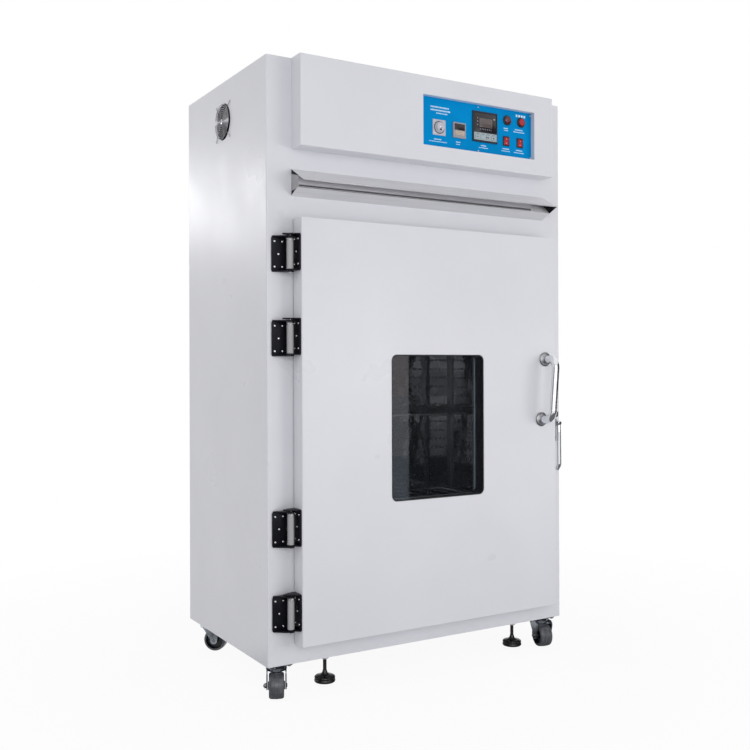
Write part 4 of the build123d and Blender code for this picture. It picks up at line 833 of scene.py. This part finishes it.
def make_switch_marks():
    """Bright marks on the two rockers and rims round lamp and button."""
    slope = 1.6 / 11.5
    marks = (((-0.5, 4.2), (0.5, 7.8)), ((-2.4, -6.6), (2.4, -5.6)))
    for name, at in (("power", POWER), ("heat", HEAT)):
        piece = Piece(name + "_marks")
        middle = Matrix.Translation((at[0], PANEL_Y + 1, at[1]))
        tilt = middle @ Matrix.Rotation(radians(7), 4, "X")
        for (a0, b0), (a1, b1) in marks:
            corners = ((a0, b0), (a1, b0), (a1, b1), (a0, b1))
            sunk, proud = ([tilt @ Vector((a, -3.4 - slope * abs(b) + off, b)) for a, b in corners]
                           for off in (0.2, -0.12))
            piece.loft([sunk, proud], print_and_highlight_white)
        piece.done(name + "_switch", "light_plastic")
    rims = Piece("lamp_rim")
    outline = [(11.1, -1), (12.4, -1), (12.4, 4.6), (12, 5), (11.5, 5), (11.1, 4.6)]
    for x, z in (LAMP, BUTTON):
        rims.torus((x, PANEL_Y, z), FRONT, outline, dark_steel, 48)
    rims.done("cabinet", "black_plastic")


# Inside of the chamber

def perforated_sheet(piece, corner, u, v, w, columns, rows, hole, mat):
    """A sheet with a field of round holes, cell by cell; u and v span it, w is its thickness."""
    corner, u, v, w = Vector(corner), Vector(u) / columns, Vector(v) / rows, Vector(w)
    wide, high = u.normalized() * hole, v.normalized() * hole
    index = piece.look(mat)
    sides = 8
    ring = [(cos(2 * pi * k / sides), sin(2 * pi * k / sides)) for k in range(sides)]
    border = [[max(-1, min(1, round(1.5 * part))) / 2 for part in point] for point in ring]

    def points(middle, outline, a_step, b_step):
        return [piece.bm.verts.new(middle + a_step * a + b_step * b) for a, b in outline]

    for i in range(columns):
        for j in range(rows):
            middle = corner + u * (i + 0.5) + v * (j + 0.5)
            loops = [(points(at, border, u, v), points(at, ring, wide, high))
                     for at in (middle, middle + w)]
            (_, near), (_, far) = loops
            for k in range(sides):
                m = (k + 1) % sides
                for outer, inner in loops:
                    face = piece.bm.faces.new((outer[k], outer[m], inner[m], inner[k]))
                    face.material_index = index
                face = piece.bm.faces.new((near[k], near[m], far[m], far[k]))
                face.material_index = index


def make_ducts():
    """Finely perforated duct sheets with their front lips."""
    piece = Piece("perforated_ducts")
    hole, rows, side_columns, back_columns = 3.6, 33, 21, 33
    low, tall = DUCT_Z[0], (0, 0, DUCT_Z[1] - DUCT_Z[0])
    deep = (0, DUCT_Y[1] - DUCT_Y[0], 0)
    for x, edge, way in ((DUCT_X[0], CHAMBER_X[0], -DUCT_T), (DUCT_X[1], CHAMBER_X[1], DUCT_T)):
        perforated_sheet(piece, (x, DUCT_Y[0], low), deep, tall, (way, 0, 0), side_columns, rows,
                         hole, duct_steel)
        x0, x1 = sorted((edge, x + way))
        piece.box((x0, DUCT_Y[0], low), (x1, DUCT_Y[0] + DUCT_T, DUCT_Z[1]), duct_steel)
    wide = (DUCT_X[1] - DUCT_X[0], 0, 0)
    perforated_sheet(piece, (DUCT_X[0], DUCT_Y[1], low), wide, tall, (0, DUCT_T, 0), back_columns,
                     rows, hole, duct_steel)
    piece.done("cabinet", "stainless", "duct_panels")


def make_panes():
    """Two panes with ground edges, trim behind them whose white strip is a painted highlight, and
    the outer one's dark gasket.
    """
    x0, x1, z0, z1 = WINDOW
    mid = ((x0 + x1) / 2, (z0 + z1) / 2)
    width, height = x1 - x0, z1 - z0
    panes = (("outer_pane", outer_glass, -54, 5), ("inner_pane", inner_glass, -8, 4))
    outline = [(-a, b) for a, b in rounded_outline(width + 28, height + 28, 18)]
    for name, mat, y, thickness in panes:
        pane = Piece(name)
        pane.prism(outline, (mid[0], y + thickness, mid[1]), FRONT, thickness, mat, 0.5, 1)
        pane.done("door", "glass", *(["window_panes"] if name == "outer_pane" else []))
    trim = Piece("pane_trim")
    # A white strip painted as the highlight on the lip's edge beside the window.
    trim.box((x1 - 2.6, -9, z0 - 1), (x1 + 0.6, -0.6, z1 + 1), print_and_highlight_white, 0.3)
    trim.box((x0, -8.6, z0 - 0.6), (x1 - 1.6, -0.6, z0 + 1.2), pin_steel, 0.3)
    trim.done("door", "stainless")
    seal = Piece("pane_gasket")
    outer = rounded_outline(width - 0.2, height - 0.2, 18, 8)
    inner = rounded_outline(width - 5.2, height - 5.2, 15.5, 8)
    ring = ((outer, -54.05), (outer, -54.9), (inner, -54.9), (inner, -54.05))
    seal.loft([[(mid[0] + a, y, mid[1] + b) for a, b in outline]
               for outline, y in ring + ring[:1]], gasket, (False, False))
    seal.done("door", "silicone")


# Casters and feet

def make_caster(name):
    """Pressed fork with a round crown, a grooved tread on a webbed core, and the plate's bolts."""
    x, y, heading = CASTERS[name]
    away = Vector((sin(radians(heading)), cos(radians(heading)), 0))
    axle = Vector((away.y, -away.x, 0))
    centre = Vector((x, y, -62.5)) - away * 24
    wheel = Piece("wheel_" + name)
    half = [(37.5, 0), (37.3, 5.6), (36.7, 6.2), (36.7, 7), (37.1, 7.6), (36.6, 14.4),
            (35.9, 17.6), (34.6, 20), (32.6, 21.3), (29, 21.6)]
    tread = [(r, -h) for r, h in half[::-1]] + half[1:]
    wheel.lathe(centre, axle, tread, tread_rubber, 72, caps=(False, False))
    core = [(5, -24), (11, -24), (12.4, -22.4), (12.8, -13), (25.6, -12),
            (28, -20.6), (29.2, -21.5)]
    core = core + [(r, -h) for r, h in core[::-1]]
    wheel.lathe(centre, axle, core, wheel_core, 56, caps=(False, False))
    for side in (-1, 1):
        cap = [(10.4, 23.4 * side), (10, 24.2 * side), (6.6, 24.3 * side), (4.1, 23.6 * side)]
        wheel.lathe(centre, axle, cap, zinc_painted_shade, 32, caps=(False, False))
    wheel.done("wheel_" + name, "tread", "caster_wheel_" + name)

    fork = Piece("fork_" + name)
    crown = [(8, -12.5), (25, -12.5), (28.6, -13.4), (30.2, -15.6), (30.2, -20.4),
             (29.4, -23.2), (27.8, -24.3), (27.2, -23.4), (28, -20.2), (27.6, -16.6),
             (25.4, -15.2), (8, -15.2)]
    # The crown takes the paler painted-light zinc, and the legs below it the darker painted-shade
    # zinc.
    fork.torus((x, y, 0), UP, crown, zinc_painted_light, 64)
    eye = [radians(turn) for turn in range(10, -191, -20)]
    sheet = [(11, -14), (13, -21), (-12.6, -59.5)]
    sheet += [(-24 + 12 * cos(turn), -62.5 + 12 * sin(turn)) for turn in eye]
    sheet += [(-36.4, -56), (-44.5, -27), (-42, -19), (-33, -14)]
    middle, drop = -16, -38
    for side in (-1, 1):
        rings = []
        for out, size in ((25.2, 0.965), (25.6, 1), (28.2, 1), (28.7, 0.965)):
            base = Vector((x, y, drop)) + axle * side * out
            rings.append([base + away * (middle + (a - middle) * size)
                          + Vector((0, 0, (h - drop) * size)) for a, h in sheet])
        fork.loft(rings if side > 0 else rings[::-1], zinc_painted_shade)
    nut_side = -1 if name.startswith("front") else 1
    nut = [(6.4, 28), (7.2, 28.8), (7.2, 33.4), (6.2, 34.6), (3.8, 34.8), (3.8, 37), (3, 37.6)]
    head = [(6.4, 28), (6.2, 29.6), (4.6, 30.6), (2, 31)]
    fork.lathe(centre, axle * nut_side, nut, dark_bolts_and_painted_shade, 36, hexagon(6))
    fork.lathe(centre, axle * -nut_side, head, dark_bolts_and_painted_shade, 28)
    fork.done("caster_" + name, "zinc", "caster_fork_" + name)

    bolts = Piece("caster_bolts_" + name)
    washer = [(6.4, 0), (6.4, 0.9)]
    bolt = [(5, 0.9), (5.2, 1.3), (5.2, 4.2), (4.6, 4.9), (2, 5)]
    for sx, sy in CORNERS:
        spot = (x + 24 * sx, y + 36 * sy, -4)
        bolts.lathe(spot, DOWN, washer, zinc_painted_shade, 24)
        bolts.lathe(spot, DOWN, bolt, zinc_painted_shade, 24, hexagon(0))
    # The bearing race is dark as painted shade under the plate.
    race = [(27, -4.6), (27.4, -6), (26.2, -7), (26.2, -8), (27.2, -9), (26, -11.4),
            (24, -12)]
    bolts.lathe((x, y, 0), UP, race, dark_bolts_and_painted_shade, 56, caps=(False, False))
    bolts.done("cabinet", "zinc")


def make_foot(name):
    """Pad with two rolled rings, a flared neck and a threaded rod."""
    x, y = FEET[name]
    foot = Piece("foot_dressed_" + name)
    low = -87.2
    pad = [(24, 0), (29, 0.3), (30.8, 2), (31.3, 4.6), (31, 7), (29.8, 8.8),
           (29, 10), (29.4, 11.2), (30.6, 12.4), (30.9, 14), (30.4, 15.8), (28.6, 17.4),
           (24.5, 18.6), (17, 20), (12, 22), (9.4, 25), (7.8, 28.6), (6.6, 32),
           (6.2, 35), (5.6, 35.6)]
    foot.lathe((x, y, low), UP, pad, foot_rubber, 72)
    root, crest, pitch, rod_top = 5, 5.6, 1.75, 40
    thread = [(root, low + 35)]
    height = low + 35.6
    while height < rod_top - 2:
        thread += [(root, height), (crest, height + pitch / 2)]
        height += pitch
    thread += [(root, rod_top - 1), (4, rod_top)]
    foot.lathe((x, y, 0), UP, thread, rod_steel, 24)
    foot.done("foot_" + name, "dark_steel", "foot_" + name, sharp=60)


def make_bosses():
    """Domed sockets under the bottom plate that the feet screw into."""
    piece = Piece("foot_bosses")
    dome = [(13.5, -0.1), (13.5, -12), (13, -15), (11.4, -17.6), (9, -19.4),
            (6.6, -20.2), (6.4, -19)]
    for x, y in FEET.values():
        piece.lathe((x, y, 0), UP, dome, paint, 40, caps=(False, False))
    piece.done("cabinet", "zinc", "foot_nuts")


# Small fixings

def make_fixings():
    """Screws round the back skin and on the exhaust's flange, and the bead of its mouth."""
    screws = Piece("skin_screws")
    width, depth, height = CABINET
    inset = 12
    spots = [(x, 40 + i * (height - 80) / 8) for i in range(9) for x in (inset, width - inset)]
    spots += [(160 + i * (width - 320) / 4, z) for i in range(5) for z in (inset, height - inset)]
    for x, z in spots:
        screws.screw((x, depth, z), BACK, 4, screw_steel, 1.9)
    x, z = EXHAUST
    for i in range(6):
        turn = radians(60 * i)
        spot = (x + 38.5 * sin(turn), depth + 3, z + 38.5 * cos(turn))
        screws.screw(spot, BACK, 2.6, screw_steel, 1.3)
    screws.done("cabinet", "zinc")
    bead = Piece("exhaust_bead")
    bead.torus((x, depth + 46, z), BACK, circle(1.6, 29.6), stainless, 64)
    bead.done("cabinet", "stainless")


make_hinges()
make_handle()
make_latch()
make_hood()
make_side_fan()
make_panel()
make_ducts()
make_panes()
for corner in CASTERS:
    make_caster(corner)
    make_foot(corner)
make_bosses()
make_fixings()


# Stage, light and camera

def plain_plane(name, width, height, place, mat):
    """A flat rectangle of the stage."""
    data = bpy.data.meshes.new(name)
    w, h = width / 2, height / 2
    data.from_pydata([(-w, -h, 0), (w, -h, 0), (w, h, 0), (-w, h, 0)], [], [(0, 1, 2, 3)])
    data.materials.append(mat)
    made = bpy.data.objects.new(name, data)
    made.matrix_world = place
    scene.collection.objects.link(made)
    return made


def combined(tree, operation, first, second):
    """A math node on a socket, and on another socket or a number."""
    step = tree.nodes.new("ShaderNodeMath")
    step.operation = operation
    tree.links.new(first, step.inputs[0])
    if isinstance(second, float):
        step.inputs[1].default_value = second
    else:
        tree.links.new(second, step.inputs[1])
    return step.outputs[0]


def seen_share(tree, share):
    """A share, a number or a socket, for camera, glossy and transmission rays alone."""
    rays = tree.nodes.new("ShaderNodeLightPath").outputs
    total = combined(tree, "MAXIMUM", rays["Is Camera Ray"], rays["Is Glossy Ray"])
    total = combined(tree, "MAXIMUM", total, rays["Is Transmission Ray"])
    return combined(tree, "MULTIPLY", total, share)


def bare_material(name, kind):
    """A material whose surface is a shader node of one kind, with its tree and that node."""
    made = bpy.data.materials.new(name)
    made.use_nodes = True
    tree = made.node_tree
    tree.nodes.remove(tree.nodes["Principled BSDF"])
    shader = tree.nodes.new(kind)
    tree.links.new(shader.outputs[0], tree.nodes["Material Output"].inputs["Surface"])
    return made, tree, shader


def make_stage():
    """Pale floor that keeps a soft shadow, and a white world."""
    floor, tree, mix = bare_material("stage_floor", "ShaderNodeMixShader")
    matte = tree.nodes.new("ShaderNodeBsdfDiffuse")
    matte.inputs["Color"].default_value = (0.86, 0.86, 0.87, 1)
    glow = tree.nodes.new("ShaderNodeEmission")
    glow.inputs["Strength"].default_value = 1
    away = tree.nodes.new("ShaderNodeVectorMath")
    away.operation = "LENGTH"
    tree.links.new(tree.nodes.new("ShaderNodeTexCoord").outputs["Object"], away.inputs[0])
    white = span(tree, away.outputs["Value"], FLOOR_WHITE, 1, FLOOR_FADE)
    tree.links.new(seen_share(tree, white), mix.inputs["Fac"])
    tree.links.new(matte.outputs["BSDF"], mix.inputs[1])
    tree.links.new(glow.outputs["Emission"], mix.inputs[2])
    plain_plane("stage_floor", 60, 60, Matrix.Identity(4), floor)

    world = bpy.data.worlds.new("stage_world")
    scene.world = world
    world.use_nodes = True
    tree = world.node_tree
    back = tree.nodes["Background"]
    back.inputs["Color"].default_value = (1, 1, 1, 1)
    level = combined(tree, "ADD", seen_share(tree, 1 - WORLD_LIGHT), WORLD_LIGHT)
    tree.links.new(level, back.inputs["Strength"])


def soft_lamp(name, spot, aim, size, power):
    """A rectangular lamp of a power in watts, turned to its aim."""
    data = bpy.data.lights.new(name, "AREA")
    data.shape = "RECTANGLE"
    data.size, data.size_y = size
    data.energy = power
    lamp = bpy.data.objects.new(name, data)
    lamp.location = spot
    lamp.rotation_euler = (Vector(aim) - Vector(spot)).to_track_quat("-Z", "Y").to_euler()
    scene.collection.objects.link(lamp)


def flag(name, spot, aim, size, level):
    """A dark flag or pale reflector of the studio, seen only in mirrors."""
    mat, _, glow = bare_material(name, "ShaderNodeEmission")
    glow.inputs["Color"].default_value = (*level, 1)
    turn = (Vector(aim) - Vector(spot)).to_track_quat("Z", "Y").to_matrix().to_4x4()
    made = plain_plane(name, size[0], size[1], Matrix.Translation(spot) @ turn, mat)
    for ray in ("camera", "diffuse", "shadow", "transmission"):
        setattr(made, "visible_" + ray, False)


def make_camera():
    """The photograph's viewpoint: a pinhole fitted to the oven's corners."""
    data = bpy.data.cameras.new("photo_camera")
    data.sensor_fit = "HORIZONTAL"
    data.sensor_width = 36
    data.lens = CAMERA_LENS
    data.shift_y = CAMERA_SHIFT
    camera = bpy.data.objects.new("photo_camera", data)
    yaw = Matrix.Rotation(radians(-CAMERA_YAW), 4, "Z")
    pitch = Matrix.Rotation(radians(90 + CAMERA_PITCH), 4, "X")
    roll = Matrix.Rotation(radians(CAMERA_ROLL), 4, "Z")
    camera.matrix_world = Matrix.Translation(CAMERA_SPOT) @ yaw @ pitch @ roll
    scene.collection.objects.link(camera)
    scene.camera = camera


CAMERA_SPOT = (-1.6558, -2.7296, 0.9456)
CAMERA_LENS = 45.81
CAMERA_YAW = 30.94
CAMERA_PITCH = 0.0965
CAMERA_ROLL = -0.181
CAMERA_SHIFT = -0.01376
FLOOR_WHITE = 0.93
FLOOR_FADE = (0.8, 2.2)
WORLD_LIGHT = 0.53

make_stage()
make_camera()
soft_lamp("key_lamp", (-2, -4.6, 1.9), (0, 0, 0.8), (3, 2.4), 48)
soft_lamp("fill_lamp", (2.8, -3.6, 0.6), (0.1, 0, 0.5), (2.6, 2.2), 60)
soft_lamp("fan_lamp", (-3.5, 0.05, 2.4), (-0.54, 0.05, 1.2), (1.2, 0.9), 9)
soft_lamp("side_lamp", (-1.8, 3.1, 2), (-0.54, 0, 1.4), (1.1, 0.45), 7)
for part, z, tall, level in (("top", 0.95, 0.32, (1.25, 1.15, 1.2)),
                             ("middle", 0.64, 0.30, (0.98, 1.02, 1.12)),
                             ("low", 0.37, 0.24, (0.68, 0.80, 0.94))):
    flag("veil_" + part, (0.92, -2.03, z), (0, -0.33, z), (0.135, tall), level)
flag("dark_board", (1.62, -2.05, 0.9), (0.1, -0.33, 0.8), (1.25, 2.6), (0.02, 0.02, 0.025))
flag("right_board", (2.3, -0.9, 0.95), (0.4, -0.35, 0.8), (1.5, 2.2), (0.05, 0.05, 0.055))
flag("left_strip", (-1.5, -0.55, 0.9), (0.4, -0.38, 0.9), (0.45, 2.4), (0.04, 0.04, 0.045))
flag("floor_board", (0.25, -1.3, 0.003), (0.25, -1.3, 2), (3.4, 2.9), (0.16, 0.16, 0.17))

scene.view_settings.view_transform = "Standard"
